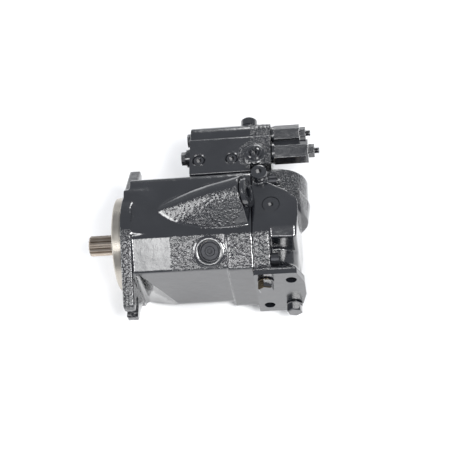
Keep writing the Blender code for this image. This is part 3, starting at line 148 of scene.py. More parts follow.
def turned_bar(name, profile, sides=48, at=(0, 0, 0), aim=forward, phase=0.0):
    """A bar turned on a lathe: (distance, radius) steps in mm, each an extrusion of the last face."""
    clear_selection()
    start, radius = profile[0]
    bpy.ops.mesh.primitive_circle_add(vertices=sides, radius=radius * mm, fill_type="NGON",
                                      location=(0, 0, start * mm), rotation=(0, 0, phase))
    piece = bake_place(bpy.context.object)
    piece.name = piece.data.name = name
    bpy.ops.object.mode_set(mode="EDIT")
    bpy.ops.mesh.select_all(action="SELECT")
    for distance, new_radius in profile[1:]:
        bpy.ops.mesh.extrude_region_move(TRANSFORM_OT_translate={"value": (0, 0, (distance - start) * mm)})
        growth = new_radius / radius
        bpy.ops.transform.resize(value=(growth, growth, 1), center_override=(0, 0, distance * mm))
        start, radius = distance, new_radius
    bpy.ops.mesh.select_all(action="SELECT")
    bpy.ops.mesh.normals_make_consistent(inside=False)
    bpy.ops.object.mode_set(mode="OBJECT")
    turn = Vector(aim).to_track_quat("Z", "Y").to_matrix().to_4x4()
    piece.matrix_world = Matrix.Translation(Vector(at) * mm) @ turn
    return bake_place(piece)


def wrapped(name, bars):
    """Joins bars and balls and draws the tightest convex skin over them, as a pattern maker fairs a boss."""
    clear_selection()
    for bar in bars:
        bar.select_set(True)
    bpy.context.view_layer.objects.active = bars[0]
    bpy.ops.object.join()
    skin = bpy.context.object
    skin.name = skin.data.name = name
    bpy.ops.object.mode_set(mode="EDIT")
    bpy.ops.mesh.select_all(action="SELECT")
    bpy.ops.mesh.convex_hull()
    bpy.ops.mesh.select_all(action="SELECT")
    bpy.ops.mesh.normals_make_consistent(inside=False)
    bpy.ops.object.mode_set(mode="OBJECT")
    return skin


def rods(corners, start, end, aim=forward, sides=16):
    """Rods through corners given as (a, b, radius): the other two of X, Y, Z in their order."""
    made = []
    for a, b, radius in corners:
        at = {forward: (start, a, b), to_valve: (a, start, b), upward: (a, b, start)}[aim]
        made.append(turned_bar("rod", [(0, radius), (end - start, radius)], sides, at, aim))
    return made


def apply_modifier(piece, kind, **settings):
    """Adds one modifier with its settings and makes its result the mesh."""
    clear_selection()
    piece.select_set(True)
    bpy.context.view_layer.objects.active = piece
    modifier = piece.modifiers.new(kind.lower(), kind)
    for name, value in settings.items():
        setattr(modifier, name, value)
    bpy.ops.object.modifier_apply(modifier=modifier.name)
    return piece


def machined(piece, tools, operation="DIFFERENCE"):
    """Cuts tools out of a piece one by one, or welds them on."""
    for tool in tools:
        apply_modifier(piece, "BOOLEAN", operation=operation, solver="MANIFOLD", object=tool)
        bpy.data.objects.remove(tool)
    return piece


def fused(name, lumps, voxel, passes):
    """One casting from lumps: remeshed as a single skin, then relaxed so that corners turn to radii."""
    clear_selection()
    for lump in lumps:
        lump.select_set(True)
    bpy.context.view_layer.objects.active = lumps[0]
    bpy.ops.object.join()
    casting = bpy.context.object
    casting.name = casting.data.name = name
    apply_modifier(casting, "REMESH", mode="VOXEL", voxel_size=voxel * mm, adaptivity=0.0)
    apply_modifier(casting, "SMOOTH", factor=0.5, iterations=passes)
    return casting


# distances along the shaft start at the flange's front face
flange_back = 12.4
joint_face = 139
case_bore = 43.4
ear_corners = [(-82, 13, 4), (-82, -13, 4), (82, 13, 4), (82, -13, 4)]
flange = wrapped("flange", rods(ear_corners, 0.3, flange_back)
                 + rods([(0, 0, 56)], 0.3, flange_back, sides=96))
case_corners = [(-46.5, -42.5, 7), (46.5, -42.5, 7), (46.5, 42.5, 7), (-22.5, 47.5, 2), (-51.6, 28, 2)]
case = wrapped("case", rods(case_corners, 8, joint_face))
rear_corners = [(-51, -46, 6.5), (47, -46, 6.5), (47, 42.5, 7), (-23, 47.7, 2), (-54.5, 30, 2)]
rear_flange = wrapped("rear_flange", rods(rear_corners, 112, joint_face))
tilt = math.radians(17)
servo_line = (math.cos(tilt), 0, math.sin(tilt))
mouth = Vector((133.4, 14, 66))
behind = mouth - Vector(servo_line) * 96
flare_curve = [(38, 9), (40, 13), (43, 4), (50, -1.5), (58, -6), (68, -9.5), (82, -13), (100, -14.6),
               (118, -14.4), (134, -13)]
flare_height = 46
servo_boss = wrapped("servo_boss", [
    turned_bar("mouth", [(-5, 19), (-0.4, 19)], 64, mouth, servo_line),
    turned_bar("waist", [(38, 15.5), (60, 18)], 48, behind, servo_line),
    turned_bar("tail", [(0, 7), (3, 9.5), (9, 11.5)], 32, behind, servo_line),
    *[turned_bar("flare", [(-3, 1.5), (0, 3.5), (3, 1.5)], 16, (x, y, flare_height), upward)
      for x, y in flare_curve],
])
# the case's front end is faired up to the flange
front_web = wrapped("front_web", rods([(-14, 46.5, 7), (34, 44, 7)], 2, 12)
                    + rods([(-18, 42.6, 6), (40, 42.6, 6)], 38, 46))
saddle_corners = [(70, 46, 3), (136, 46, 3), (76, 54.6, 3), (136, 54.6, 3)]
saddle = wrapped("saddle", rods(saddle_corners, 4, 37, upward)
                 + [turned_bar("fillet", [(0, 6), (1, 6)], 16, (84, 36, 44)),
                    turned_bar("fillet", [(0, 7), (1, 7)], 16, (128, 34, 47))])
facet_out = (0, -0.545, 0.839)
facet_middle = Vector((93.5, -38.4, 39.9))
drain_boss = turned_bar("drain_boss", [(-8, 15.8), (0.8, 15.8)], 64, facet_middle, facet_out)
housing_lumps = [flange, case, rear_flange, servo_boss, front_web, saddle, drain_boss]
housing = fused("housing_casting", housing_lumps, 1.05, 5)

# a wedge-shaped recess behind each ear for the bolt and spanner, then every machined face and hole
scoops = []
for side in (-1, 1):
    recess = [(17, 56, 22), (17, 49.5, -52), (52, 57, -52), (17, 76, 22), (17, 76, -52), (52, 76, -52)]
    scoops.append(wrapped("scoop", [
        turned_bar("ball", [(-4, 1.5), (0, 4), (4, 1.5)], 20, (x, side * y, z), upward)
        for x, y, z in recess]))
slot_centre = 73
slot_radius = 7.15
slots = []
for side in (-1, 1):
    slot_ends = [(side * slot_centre, 0, slot_radius), (side * 99, 0, slot_radius)]
    slots.append(wrapped("slot", rods(slot_ends, -2, 16, sides=32)))
face_off = turned_bar("face_off", [(-8, 130), (0, 130)], 32)
joint_cut = turned_bar("joint_cut", [(0, 130), (20, 130)], 32, (joint_face, 0, 0))
plug_face = turned_bar("plug_face", [(0, 27), (24, 27)], 48, mouth, servo_line)
plug_bore = turned_bar("plug_bore", [(-14, 8.8), (-11.6, 8.8), (-11.6, 12.9), (-0.8, 12.9), (0.6, 14.2)],
                       48, mouth, servo_line)
drain_bore = turned_bar("drain_bore", [(-24, 5), (-12, 5), (-12, 11.3), (-1.6, 11.3), (-0.6, 12.6),
                                       (-0.6, 13), (4, 13)], 64, facet_middle, facet_out)
machined(housing, [*scoops, *slots, face_off, joint_cut, plug_face, plug_bore, drain_bore])
pilot = turned_bar("pilot", [(-9.5, 47.6), (-9.5, 49.3), (-8.2, 50.8), (-1.2, 50.8), (-1.2, 50.2),
                             (1, 50.2)], 128)
machined(housing, [pilot], "UNION")
shaft_bore = turned_bar("shaft_bore", [(-12, 21), (-9.4, 21), (-8.6, 19.3), (-0.5, 19.3), (-0.5, 15),
                                       (6, 15), (6, 23.7), (20, 23.7), (20, case_bore),
                                       (joint_face + 2, case_bore)], 64)
machined(housing, [shaft_bore])

# Enamel on cast iron: glossy, nearly black, with a faint blue cast
enamel, shader = new_material("black_enamel_on_cast_iron")
position = add_node(enamel, "ShaderNodeTexCoord").outputs["Object"]
drift = add_node(enamel, "ShaderNodeTexNoise", links={"Vector": position},
                 values={"Scale": 28.0, "Detail": 4.0})
tone = add_node(enamel, "ShaderNodeMix", {"data_type": "RGBA"}, {0: drift.outputs["Fac"]},
                {6: to_linear("#101115"), 7: to_linear("#1b1d22")})
gloss = add_node(enamel, "ShaderNodeMapRange", links={"Value": drift.outputs["Fac"]},
                 values={"From Min": 0.3, "From Max": 0.7, "To Min": 0.16, "To Max": 0.28})
# casting skin under the paint: waves about 8 mm long and an orange peel of about 1.2 mm
swell = add_node(enamel, "ShaderNodeTexNoise", links={"Vector": position},
                 values={"Scale": 120.0, "Detail": 2.0})
peel = add_node(enamel, "ShaderNodeTexNoise", links={"Vector": position},
                values={"Scale": 850.0, "Detail": 2.0})
wave = add_node(enamel, "ShaderNodeBump", links={"Height": swell.outputs["Fac"]},
                values={"Strength": 0.35, "Distance": 0.0012})
skin = add_node(enamel, "ShaderNodeBump",
                links={"Height": peel.outputs["Fac"], "Normal": wave.outputs["Normal"]},
                values={"Strength": 0.25, "Distance": 0.0002})
for socket, output in (("Base Color", tone.outputs[2]), ("Roughness", gloss.outputs["Result"]),
                       ("Normal", skin.outputs["Normal"])):
    enamel.node_tree.links.new(output, shader.inputs[socket])
shader.inputs["IOR"].default_value = 1.7
shader.inputs["Coat Weight"].default_value = 0.9
shader.inputs["Coat Roughness"].default_value = 0.1

# Sand skin: grains about 2.5 mm across, drawn coarser than foundry sand so that they show
sand_skin, shader = new_material("black_enamel_on_sand_cast_skin")
position = add_node(sand_skin, "ShaderNodeTexCoord").outputs["Object"]
grain = add_node(sand_skin, "ShaderNodeTexNoise", links={"Vector": position},
                 values={"Scale": 420.0, "Detail": 2.0, "Roughness": 0.5})
pebble = add_node(sand_skin, "ShaderNodeTexVoronoi", {"feature": "SMOOTH_F1"}, {"Vector": position},
                  {"Scale": 380.0})
lumps = add_node(sand_skin, "ShaderNodeMath", {"operation": "SUBTRACT"},
                 {0: grain.outputs["Fac"], 1: pebble.outputs["Distance"]})
relief = add_node(sand_skin, "ShaderNodeBump", links={"Height": lumps.outputs["Value"]},
                  values={"Strength": 1.0, "Distance": 0.0022})
tone = add_node(sand_skin, "ShaderNodeMix", {"data_type": "RGBA"}, {0: grain.outputs["Fac"]},
                {6: to_linear("#0c0d10"), 7: to_linear("#1f2126")})
for socket, output in (("Base Color", tone.outputs[2]), ("Normal", relief.outputs["Normal"])):
    sand_skin.node_tree.links.new(output, shader.inputs[socket])
shader.inputs["Roughness"].default_value = 0.2
shader.inputs["IOR"].default_value = 1.7
shader.inputs["Coat Weight"].default_value = 0.9
shader.inputs["Coat Roughness"].default_value = 0.12

# Bare turned iron of the pilot and bores: fine rings left by the tool, about 0.4 mm apart, warm grey
turned_iron, shader = new_material("turned_bare_iron")
position = add_node(turned_iron, "ShaderNodeTexCoord").outputs["Object"]
split = add_node(turned_iron, "ShaderNodeSeparateXYZ", links={"Vector": position})
rings = add_node(turned_iron, "ShaderNodeTexNoise", {"noise_dimensions": "1D"}, {"W": split.outputs["X"]},
                 {"Scale": 2400.0, "Detail": 2.0})
stain = add_node(turned_iron, "ShaderNodeTexNoise", links={"Vector": position},
                 values={"Scale": 60.0, "Detail": 4.0})
tone = add_node(turned_iron, "ShaderNodeMix", {"data_type": "RGBA"}, {0: stain.outputs["Fac"]},
                {6: to_linear("#a29c93"), 7: to_linear("#c9c4bb")})
ridge = add_node(turned_iron, "ShaderNodeBump", links={"Height": rings.outputs["Fac"]},
                 values={"Strength": 0.3, "Distance": 0.0001})
gloss = add_node(turned_iron, "ShaderNodeMapRange", links={"Value": stain.outputs["Fac"]},
                 values={"From Min": 0.3, "From Max": 0.7, "To Min": 0.28, "To Max": 0.42})
for socket, output in (("Base Color", tone.outputs[2]), ("Normal", ridge.outputs["Normal"]),
                       ("Roughness", gloss.outputs["Result"])):
    turned_iron.node_tree.links.new(output, shader.inputs[socket])
shader.inputs["Metallic"].default_value = 1.0


# a casting's finishes in their order, and the angle in degrees from which a turned piece's edges stay sharp
PAINT = 0
SAND = 1
BARE = 2
turned_edge = 30


def dress(piece, materials, choose, sharp=38):
    """Gives each face the finish that choose() picks for it, by its middle in mm and its normal."""
    piece.data.materials.clear()
    for material in materials:
        piece.data.materials.append(material)
    for face in piece.data.polygons:
        face.material_index = choose(face.center / mm, face.normal)
    clear_selection()
    piece.select_set(True)
    bpy.context.view_layer.objects.active = piece
    bpy.ops.object.shade_smooth_by_angle(angle=math.radians(sharp))
    if sharp <= turned_edge:
        apply_modifier(piece, "WEIGHTED_NORMAL", keep_sharp=True)


def only_finish(middle, normal):
    """For a piece with one finish all over."""
    return 0


def roughen(piece, grain=1.9, height=0.8):
    """Raises the sand's grains, their size and height in mm, on the faces with the sand skin."""
    sandy = {v for face in piece.data.polygons if face.material_index == SAND for v in face.vertices}
    group = piece.vertex_groups.new(name="sandy")
    group.add(sorted(sandy), 1.0, "REPLACE")
    sand = bpy.data.textures.new("sand", "CLOUDS")
    sand.noise_scale = grain * mm
    sand.noise_depth = 1
    apply_modifier(piece, "DISPLACE", texture=sand, texture_coords="LOCAL", strength=height * mm,
                   mid_level=0.5, vertex_group="sandy")


def housing_finish(middle, normal):
    """Bare where it is machined, sandy on the drain facet, the boss's flank and the flange's rim."""
    in_bore = math.hypot(middle.y, middle.z) < case_bore + 0.2
    if middle.x < -0.05 or in_bore or middle.x > joint_face - 0.05:
        return BARE
    on_facet = normal.dot(Vector(facet_out)) > 0.93 and middle.y < -15
    clear_of_port = (middle - facet_middle).length > 16.5
    rear_step = 109 <= middle.x <= 115
    if on_facet and clear_of_port and 53 < middle.x < 138 and middle.z < 51 and not rear_step:
        return SAND
    boss_flank = middle.z > 51.5 and 45 < middle.x < 131 and normal.dot(Vector(facet_out)) > 0.86
    flange_rim = 0.2 < middle.x < 12.3 and abs(normal.x) < 0.4 and middle.y < -14
    return SAND if boss_flank or flange_rim else PAINT


dress(housing, [enamel, sand_skin, turned_iron], housing_finish)
roughen(housing)
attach(housing, "pump_case")
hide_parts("housing")

# ---------------------------------------------------------------- end cap
# A second iron casting closes the case. It carries the suction port on the control side and, on a short
# neck opposite, the pad for the pressure port. Its joint face, port faces and plug seats are machined.
port_axis = (164, 0, 0)
port_x = port_axis[0]
pad_face = 64
suction_face = 65
pad_bolts = [(x, z) for x in (150.9, 177.1) for z in (-26.2, 26.2)]
pilot_place = (148, 44.9)
passage_place = (159.3, 9)
screw_places = [(-45.9, 29.9), (-39.9, -41.9), (45.9, -37.9), (45.9, 37.9)]

cap_flange = wrapped("cap_flange", rods(rear_corners, joint_face + 0.4, 157))
body_corners = [(148.5, -15, 1.5), (182, -15, 2.5), (185, -7, 2), (184.5, 13, 2.5), (177, 22.5, 2),
                (158, 34, 2), (148, 34, 1.5)]
cap_body = wrapped("cap_body", rods(body_corners, -45.5, 49.8, upward)
                   + rods([(149, -25, 3), (181, -25, 4)], -44, 44.5, upward))
neck = turned_bar("neck", [(20, 21), (62, 21)], 64, port_axis, to_port)
pad_outline = [(142.5, 36.5, 4), (180, 36.5, 4), (186.5, 19, 4), (187.5, -5, 3), (182, -24, 4),
               (174.5, -37, 3), (142.5, -37, 3)]
pad = wrapped("pad", rods(pad_outline, -63.8, -61, to_valve))
draft = 0.93  # the flare's outline as a share of the pad's
inner_outline = [(port_x + draft * (x - port_x), draft * z, radius) for x, z, radius in pad_outline]
pad_flare = wrapped("pad_flare", rods(inner_outline, -62.5, -60, to_valve)
                    + [turned_bar("throat", [(45, 20), (47, 21)], 64, port_axis, to_port)])
suction_boss = turned_bar("suction_boss", [(14, 31), (40, 33), (64.8, 33)], 96, port_axis, to_valve)
suction_web = wrapped("suction_web", [turned_bar("web", [(14, 30), (36, 33)], 48, (166, 0, 0), to_valve),
                                      turned_bar("web", [(0, 5), (3, 5)], 16, (184, 34, 30), upward),
                                      turned_bar("web", [(0, 5), (3, 5)], 16, (184, 34, -33), upward)])
boss_foot = turned_bar("boss_foot", [(20, 9.5), (50, 8.8)], 48, (*pilot_place, 0), upward)
pilot_boss = turned_bar("pilot_boss", [(40, 8.8), (53.8, 8.5)], 48, (*pilot_place, 0), upward)
cap_lumps = [cap_flange, cap_body, neck, pad, pad_flare, suction_boss, suction_web, boss_foot, pilot_boss]
end_cap = fused("end_cap_casting", cap_lumps, 1.1, 3)
holes = [turned_bar("joint_cut", [(0, 130), (-30, 130)], 32, (139.3, 0, 0)),
         turned_bar("pad_cut", [(0, 60), (20, 60)], 32, (port_x, -pad_face, 0), to_port),
         turned_bar("suction_cut", [(0, 60), (20, 60)], 32, (port_x, suction_face, 0), to_valve),
         turned_bar("suction_bore", [(25, 22), (63.5, 22), (66, 24.5)], 64, port_axis, to_valve),
         turned_bar("pressure_bore", [(25, 12.5), (66, 12.5)], 48, port_axis, to_port),
         turned_bar("bearing_bore", [(0, 21.6), (19, 21.6)], 48, (138.5, 0, 0)),
         turned_bar("plug_seat", [(0, 9.3), (10, 9.3)], 64, (*passage_place, 42), upward),
         turned_bar("pilot_seat", [(0, 5.3), (12, 5.3)], 32, (*pilot_place, 47.9), upward),
         turned_bar("plug_clearance", [(0.2, 17), (16, 17)], 48, mouth, servo_line)]
holes += [turned_bar("pad_bolt", [(51, 5.2), (66, 5.2)], 32, (x, 0, z), to_port) for x, z in pad_bolts]
holes += [turned_bar("screw_seat", [(0, 4.3), (17.9, 4.3), (17.9, 7.2), (30, 7.2)], 32, (joint_face, y, z))
          for y, z in screw_places]
machined(end_cap, holes)


def end_cap_finish(middle, normal):
    """Bare at the joint and in the suction port, sandy on the facet and in the hollow by the suction boss."""
    from_suction = math.hypot(middle.x - port_x, middle.z)
    in_suction = middle.y > 24 and from_suction < 24.6
    if middle.x < joint_face + 0.4 or in_suction or middle.y > suction_face - 0.1:
        return BARE
    on_facet = normal.dot(Vector(facet_out)) > 0.9 and middle.x < 156.5
    hollow = middle.x > 150 and middle.y > 22 and middle.z < 48 and normal.z > 0.2
    return SAND if on_facet or hollow else PAINT


dress(end_cap, [enamel, sand_skin, turned_iron], end_cap_finish)
roughen(end_cap)
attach(end_cap, "pump_case")
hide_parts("end_cap")

# ---------------------------------------------------------------- control valve
# The load-sensing valve is an iron block bolted to the housing's side. Its far side is rounded over the
# pressure spool, its face carries three gallery plugs, and the rear part is left as cast.
pc_y = 116.9
ls_y = 92.9
spool_z = 22
pc_face = 70.5
ls_face = 65.5
barrel_face = 160
sense_place = (135, 0, spool_z)
block_corners = [(60.6, 1.8, 1.5), (60.6, 38.2, 1.5), (104, 37.5, 2.2), (112, 3, 3)]
block = wrapped("block", rods(block_corners, 70.8, 159.7))
spool_side = turned_bar("spool_side", [(0, 12.8), (88.9, 12.8)], 96, (70.8, pc_y + 0.5, spool_z))
lower_corners = [(108, 22, 11), (117.2, 22, 12.6), (121, 8, 7.5), (100, 8, 7)]
lower_side = wrapped("lower_side", rods(lower_corners, 70.9, 159.6, sides=48))
ls_bulge = turned_bar("ls_bulge", [(0, 10.2), (92, 10.2)], 64, (68, ls_y, spool_z))
plug_places = [(81, 77.9), (117, 77.9), (142.5, 80.4)]
dome_x, dome_y = plug_places[2]
dome = turned_bar("dome", [(30, 15), (38, 14.5), (41.5, 13), (43, 10.5)], 64, (dome_x, dome_y, 0), upward)
ls_boss = turned_bar("ls_boss", [(0, 10), (10, 10)], 64, (66, ls_y, spool_z))
valve = fused("valve_casting", [block, spool_side, lower_side, ls_bulge, dome], 1.0, 3)
under_lift = wrapped("under_lift", rods([(50, -4, 1), (66.5, -4, 1), (66.5, 44, 1), (50, 44, 1)], 137.2, 164))
square = math.pi / 4  # turns a four-sided bar so that its sides lie along the axes
machined(valve, [under_lift,
                 turned_bar("foot_cut", [(0, 90), (20, 90)], 4, (115, 58.9, 20), to_port, square),
                 turned_bar("left_cut", [(0, 90), (20, 90)], 4, (pc_face, 95, 20), (-1, 0, 0), square),
                 turned_bar("right_cut", [(0, 90), (20, 90)], 4, (barrel_face, 95, 20), forward, square)])
rims = [turned_bar("rim", [(34, 8.6), (39.2, 8.6), (40, 7.8)], 64, (*place, 0), upward)
        for place in plug_places[:2]]
rims += [turned_bar("rim", [(40, 8.4), (44.2, 8.4), (45, 7.6)], 64, (dome_x, dome_y, 0), upward), ls_boss,
         turned_bar("sense_boss", [(110, 9.5), (128.2, 9.5), (128.9, 8.8)], 64, sense_place, to_valve),
         turned_bar("pc_rim", [(0.6, 9.2), (0, 8.4), (6, 8.4)], 64, (70, pc_y, spool_z))]
machined(valve, rims, "UNION")
seats = [turned_bar("seat", [(31, 6.7), (38.6, 6.7), (39.6, 7.7), (42, 7.7)], 48, (*place, 0), upward)
         for place in plug_places[:2]]
seats += [turned_bar("seat", [(36, 5.5), (43.6, 5.5), (44.4, 6.3), (46, 6.3)], 48,
                     (dome_x, dome_y, 0), upward),
          turned_bar("sense_seat", [(123.9, 5.3), (130, 5.3)], 32, sense_place, to_valve)]
for y, start in ((pc_y, pc_face), (ls_y, ls_face)):
    seats.append(turned_bar("spool_bore", [(start - 1, 6.6), (start + 9, 6.6), (start + 9, 5.3), (148, 5.3),
                                           (148, 8.3), (161, 8.3)], 48, (0, y, spool_z)))
for x in (80, 126):
    seats.append(turned_bar("screw_hole", [(58, 3.3), (123.9, 3.3), (123.9, 5.4), (130, 5.4)], 32,
                            (x, 0, 8), to_valve))
machined(valve, seats)


def valve_finish(middle, normal):
    """Sandy on the rear part and round the dome, smooth elsewhere."""
    near_dome = math.hypot(middle.x - dome_x, middle.y - dome_y) < 19
    return SAND if normal.z > -0.3 and (middle.x > 137 or near_dome) and middle.z < 42.5 else PAINT


dress(valve, [enamel, sand_skin], valve_finish)
roughen(valve)
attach(valve, "pump_case")
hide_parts("control_body")

# ---------------------------------------------------------------- plugs with hexagon sockets
# Steel plugs close the galleries, the stroking cylinder, the drain port and the test points. They are
# turned, chamfered, broached with a hexagon and sprayed with the castings; the drain plug stays oxidised.
black_oxide, shader = new_material("black_oxide_steel")
position = add_node(black_oxide, "ShaderNodeTexCoord").outputs["Object"]
bloom = add_node(black_oxide, "ShaderNodeTexNoise", links={"Vector": position},
                 values={"Scale": 300.0, "Detail": 4.0})
tone = add_node(black_oxide, "ShaderNodeMix", {"data_type": "RGBA"}, {0: bloom.outputs["Fac"]},
                {6: to_linear("#26272a"), 7: to_linear("#3d3e42")})
gloss = add_node(black_oxide, "ShaderNodeMapRange", links={"Value": bloom.outputs["Fac"]},
                 values={"From Min": 0.3, "From Max": 0.7, "To Min": 0.3, "To Max": 0.5})
black_oxide.node_tree.links.new(tone.outputs[2], shader.inputs["Base Color"])
black_oxide.node_tree.links.new(gloss.outputs["Result"], shader.inputs["Roughness"])
shader.inputs["Metallic"].default_value = 0.6


def broached_plug(node, profile, at, aim, across, depth, sides=64, material=enamel):
    """A turned plug with a hexagon socket, across its flats in mm, sunk into the outer face."""
    plug = turned_bar(f"{node}_turned", profile, sides, at, aim)
    top = profile[-1][0]
    corner = across / math.sqrt(3)
    machined(plug, [turned_bar("broach", [(top - depth, corner), (top + 1, corner)], 6, at, aim)])
    dress(plug, [material], only_finish, turned_edge)
    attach(plug, "pump_case")
    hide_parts(node)


for number, (x, y) in enumerate(plug_places, 1):
    top, radius = (44, 5.2) if number == 3 else (38.7, 6.4)
    broached_plug(f"gallery_plug_{number}",
                  [(top - 7, radius - 0.6), (top - 7, radius), (top - 1, radius), (top, radius - 1)],
                  (x, y, 0), upward, 5.5, 4)
broached_plug("servo_plug",
              [(-11, 11.6), (-10, 12.7), (-1.2, 12.7), (-1.2, 12), (0.4, 12), (0.4, 15.5), (3.6, 15.5),
               (5, 14.2), (5, 10.4), (4.2, 9.8)], mouth, servo_line, 10, 8, 96)
broached_plug("drain_plug",
              [(-11, 10.2), (-10.4, 11), (-5.4, 11), (-5.4, 9.8), (-7.6, 9), (-7.6, 5.4), (-6.6, 4.8)],
              facet_middle, facet_out, 5.5, 4, 96, black_oxide)
broached_plug("pilot_plug",
              [(45, 5), (54.2, 5), (54.2, 9), (57.4, 9), (58.8, 8.2), (59.7, 6.4)],
              (*pilot_place, 0), upward, 6, 4)
broached_plug("passage_plug",
              [(43, 8.6), (43.4, 9), (49.1, 9), (49.5, 8.6)], (*passage_place, 0), upward, 5, 3)
broached_plug("load_sense_plug",
              [(124.4, 5), (129.2, 5), (129.2, 9.3), (137, 9.3), (139.6, 7.2)], sense_place, to_valve, 6, 5)

# ---------------------------------------------------------------- hexagon ends and adjusters of the valve
# Drawn hexagon bar, turned down at the ends, threaded into the block and sprayed; the lock nuts and setting
# screws sit beyond on one line with each spool.
def hexagon_part(node, lengths, at, soften, bore=None):
    """Stacked lengths of (sides, start, end, radius) bar on one axis, welded, edge-broken and bored."""
    bars = []
    for sides, start, end, radius in lengths:
        name = "length" if bars else f"{node}_turned"
        bar = turned_bar(name, [(start, radius), (end, radius)], sides, at)
        apply_modifier(bar, "BEVEL", width=soften * mm, segments=2, limit_method="ANGLE",
                       angle_limit=math.radians(40))
        bars.append(bar)
    part = machined(bars[0], bars[1:], "UNION")
    if bore:
        machined(part, [turned_bar("bore", bore, 48, at)])
    dress(part, [enamel], only_finish, turned_edge)
    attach(part, "pump_case")
    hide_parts(node)


for name, y, start, head in (("pc", pc_y, pc_face, 4), ("ls", ls_y, ls_face, 5.5)):
    hexagon_part(f"{name}_spool_plug",
                 [(6, -head - 0.3, -0.3, 7.4), (48, -head + 0.5, 8.6, 5), (48, 1.2, 8.7, 6.2),
                  (48, -1.6, -0.2, 7.7)], (start, y, spool_z), 0.25)
pc_barrel = 31
ls_barrel = 40
thread_bore = 3.8
for name, y, radius, length in (("pc", pc_y, 10.8, pc_barrel), ("ls", ls_y, 13, ls_barrel)):
    hexagon_part(f"{name}_adjuster_barrel",
                 [(6, 2.6, length, radius), (64, 0.3, 3.2, radius * 0.93), (64, -11, 2, 8),
                  (64, length - 1, length + 0.02, radius * 0.8)],
                 (barrel_face, y, spool_z), 0.5,
                 [(-12, 5.6), (length - 9, 5.6), (length - 9, thread_bore), (length + 1, thread_bore)])
    hexagon_part(f"{name}_lock_nut", [(6, length + 0.3, length + 6.8, 7.5)], (barrel_face, y, spool_z), 0.5,
                 [(length - 1, thread_bore), (length + 8, thread_bore)])

# setting screws: threads rolled at 1 mm pitch, drawn as rings, with a hexagon socket in the tip
for name, y, length in (("pc", pc_y, pc_barrel), ("ls", ls_y, ls_barrel)):
    threads = [(length - 14, 5.2), (length - 10, 5.2), (length - 10, 3.4)]
    reach = length - 9
    while reach < length + 11:
        threads += [(reach, 2.95), (reach + 0.5, 3.5)]
        reach += 1
    threads += [(length + 11.4, 3.4), (length + 12, 2.7)]
    screw = turned_bar(f"{name}_setting_screw", threads, 32, (barrel_face, y, spool_z))
    socket = turned_bar("broach", [(length + 9, 1.75), (length + 13, 1.75)], 6, (barrel_face, y, spool_z))
    machined(screw, [socket])
    dress(screw, [enamel], only_finish, turned_edge)
    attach(screw, f"{name}_adjust_screw")
    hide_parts(f"{name}_adjust_screw")

# ---------------------------------------------------------------- shipping cover on the pressure port
# A plate laser-cut from steel closes the pressure port for transport, held by two of its four screws.
# On one screw the faces turned up get yellow zinc as a painted golden glint; the other is painted.
cover_corners = [(142.2, 37.8, 3.2), (181, 37.8, 3.2), (187.6, 19.4, 3), (188.6, -5, 2.4),
                 (183, -24.4, 4), (175, -37.6, 2.4), (141.4, -37.6, 2.4)]
cover = wrapped("shipping_cover", rods(cover_corners, -69.7, -64.3, to_valve))
apply_modifier(cover, "BEVEL", width=0.4 * mm, segments=2, limit_method="ANGLE", angle_limit=math.radians(60))
machined(cover, [turned_bar("bolt_hole", [(60, 5.6), (69.4, 5.6), (70.2, 6.3)], 48, (x, 0, z), to_port)
                 for x, z in pad_bolts])
dress(cover, [enamel], only_finish, turned_edge)
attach(cover, "pump_case")
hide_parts("blanking_plate")

# Yellow zinc, dark with golden blotches: a painted golden glint, put only on the upper screw's up-turned
# faces
glint_zinc_steel, shader = new_material("yellow_zinc_painted_glint")
position = add_node(glint_zinc_steel, "ShaderNodeTexCoord").outputs["Object"]
glint_blotch = add_node(glint_zinc_steel, "ShaderNodeTexNoise", links={"Vector": position},
                  values={"Scale": 260.0, "Detail": 3.0})
tone = add_node(glint_zinc_steel, "ShaderNodeMix", {"data_type": "RGBA"}, {0: glint_blotch.outputs["Fac"]},
                {6: to_linear("#1a1a1c"), 7: to_linear("#5d5038")})
glint_zinc_steel.node_tree.links.new(tone.outputs[2], shader.inputs["Base Color"])
shader.inputs["Metallic"].default_value = 0.7
shader.inputs["Roughness"].default_value = 0.22
glint_slot = 1  # the second finish of the upper screw: yellow zinc as a painted golden glint


def painted_glint_finish(middle, normal):
    """Painted glint: yellow zinc on the faces turned up, unless they also turn towards the rear."""
    return glint_slot if normal.z > 0.25 and normal.x < 0.3 else PAINT


for name, (x, z), choose in (("upper", pad_bolts[1], painted_glint_finish), ("lower", pad_bolts[2], only_finish)):
    head = turned_bar(f"cover_screw_{name}", [(70.3, 8.0), (70.9, 8.6), (71.4, 8.6), (71.8, 7.9)], 64,
                      (x, 0, z), to_port)
    shank = turned_bar("shank", [(52, 4.3), (52.6, 4.9), (71, 4.9)], 48, (x, 0, z), to_port)
    hexagon = turned_bar("hexagon", [(71, 8.3), (79.4, 8.3), (80.3, 7.3)], 6, (x, 0, z), to_port,
                         math.radians(12))
    machined(head, [shank, hexagon], "UNION")
    dress(head, [enamel, glint_zinc_steel], choose, 25)
    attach(head, "pump_case")
    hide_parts(f"blanking_screw_{name}")

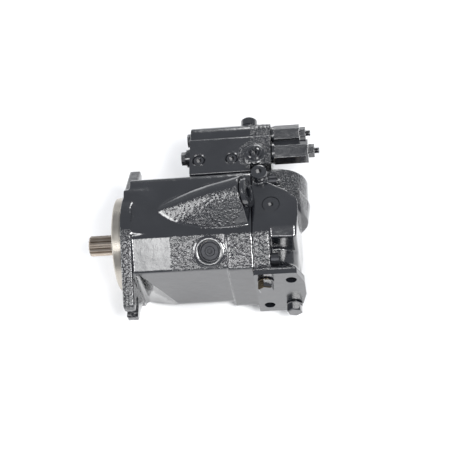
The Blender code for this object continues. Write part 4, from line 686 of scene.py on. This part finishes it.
# ---------------------------------------------------------------- the remaining metal parts
# Everything inside the pump keeps its own solid; each gets the finish of what it is made from.
# Ground alloy steel: straight polishing lines round the shaft's axis, warm where oil has dried
ground_steel, shader = new_material("ground_alloy_steel")
position = add_node(ground_steel, "ShaderNodeTexCoord").outputs["Object"]
split = add_node(ground_steel, "ShaderNodeSeparateXYZ", links={"Vector": position})
lines = add_node(ground_steel, "ShaderNodeTexNoise", {"noise_dimensions": "1D"}, {"W": split.outputs["X"]},
                 {"Scale": 3200.0, "Detail": 2.0})
film = add_node(ground_steel, "ShaderNodeTexNoise", links={"Vector": position},
                values={"Scale": 90.0, "Detail": 3.0})
tone = add_node(ground_steel, "ShaderNodeMix", {"data_type": "RGBA"}, {0: film.outputs["Fac"]},
                {6: to_linear("#8a7d70"), 7: to_linear("#b5aca2")})
ridge = add_node(ground_steel, "ShaderNodeBump", links={"Height": lines.outputs["Fac"]},
                 values={"Strength": 0.15, "Distance": 0.0001})
for socket, output in (("Base Color", tone.outputs[2]), ("Normal", ridge.outputs["Normal"])):
    ground_steel.node_tree.links.new(output, shader.inputs[socket])
shader.inputs["Metallic"].default_value = 1.0
shader.inputs["Roughness"].default_value = 0.3

# Bearing bronze: machined bright, gone slightly brown in patches
bronze, shader = new_material("machined_bearing_bronze")
position = add_node(bronze, "ShaderNodeTexCoord").outputs["Object"]
film = add_node(bronze, "ShaderNodeTexNoise", links={"Vector": position},
                values={"Scale": 150.0, "Detail": 3.0})
tone = add_node(bronze, "ShaderNodeMix", {"data_type": "RGBA"}, {0: film.outputs["Fac"]},
                {6: to_linear("#a5803f"), 7: to_linear("#c79f5b")})
bronze.node_tree.links.new(tone.outputs[2], shader.inputs["Base Color"])
shader.inputs["Metallic"].default_value = 1.0
shader.inputs["Roughness"].default_value = 0.35

# Nitrile rubber: matt, with fine dust
rubber, shader = new_material("nitrile_rubber")
position = add_node(rubber, "ShaderNodeTexCoord").outputs["Object"]
dust = add_node(rubber, "ShaderNodeTexNoise", links={"Vector": position},
                values={"Scale": 500.0, "Detail": 4.0})
tone = add_node(rubber, "ShaderNodeMix", {"data_type": "RGBA"}, {0: dust.outputs["Fac"]},
                {6: to_linear("#141415"), 7: to_linear("#262627")})
rubber.node_tree.links.new(tone.outputs[2], shader.inputs["Base Color"])
shader.inputs["Roughness"].default_value = 0.65

finishes = {"blackened_steel": black_oxide, "ground_steel": ground_steel, "spring_steel": ground_steel,
            "bearing_bronze": bronze, "seal_rubber": rubber, "black_painted_iron": enamel,
            "black_valve_paint": enamel}
for part in frame["record"]["subparts"]:
    node = frame["nodes"][part["node"]]
    for slot in node.material_slots:
        slot.material = finishes[part["material_slot"]]
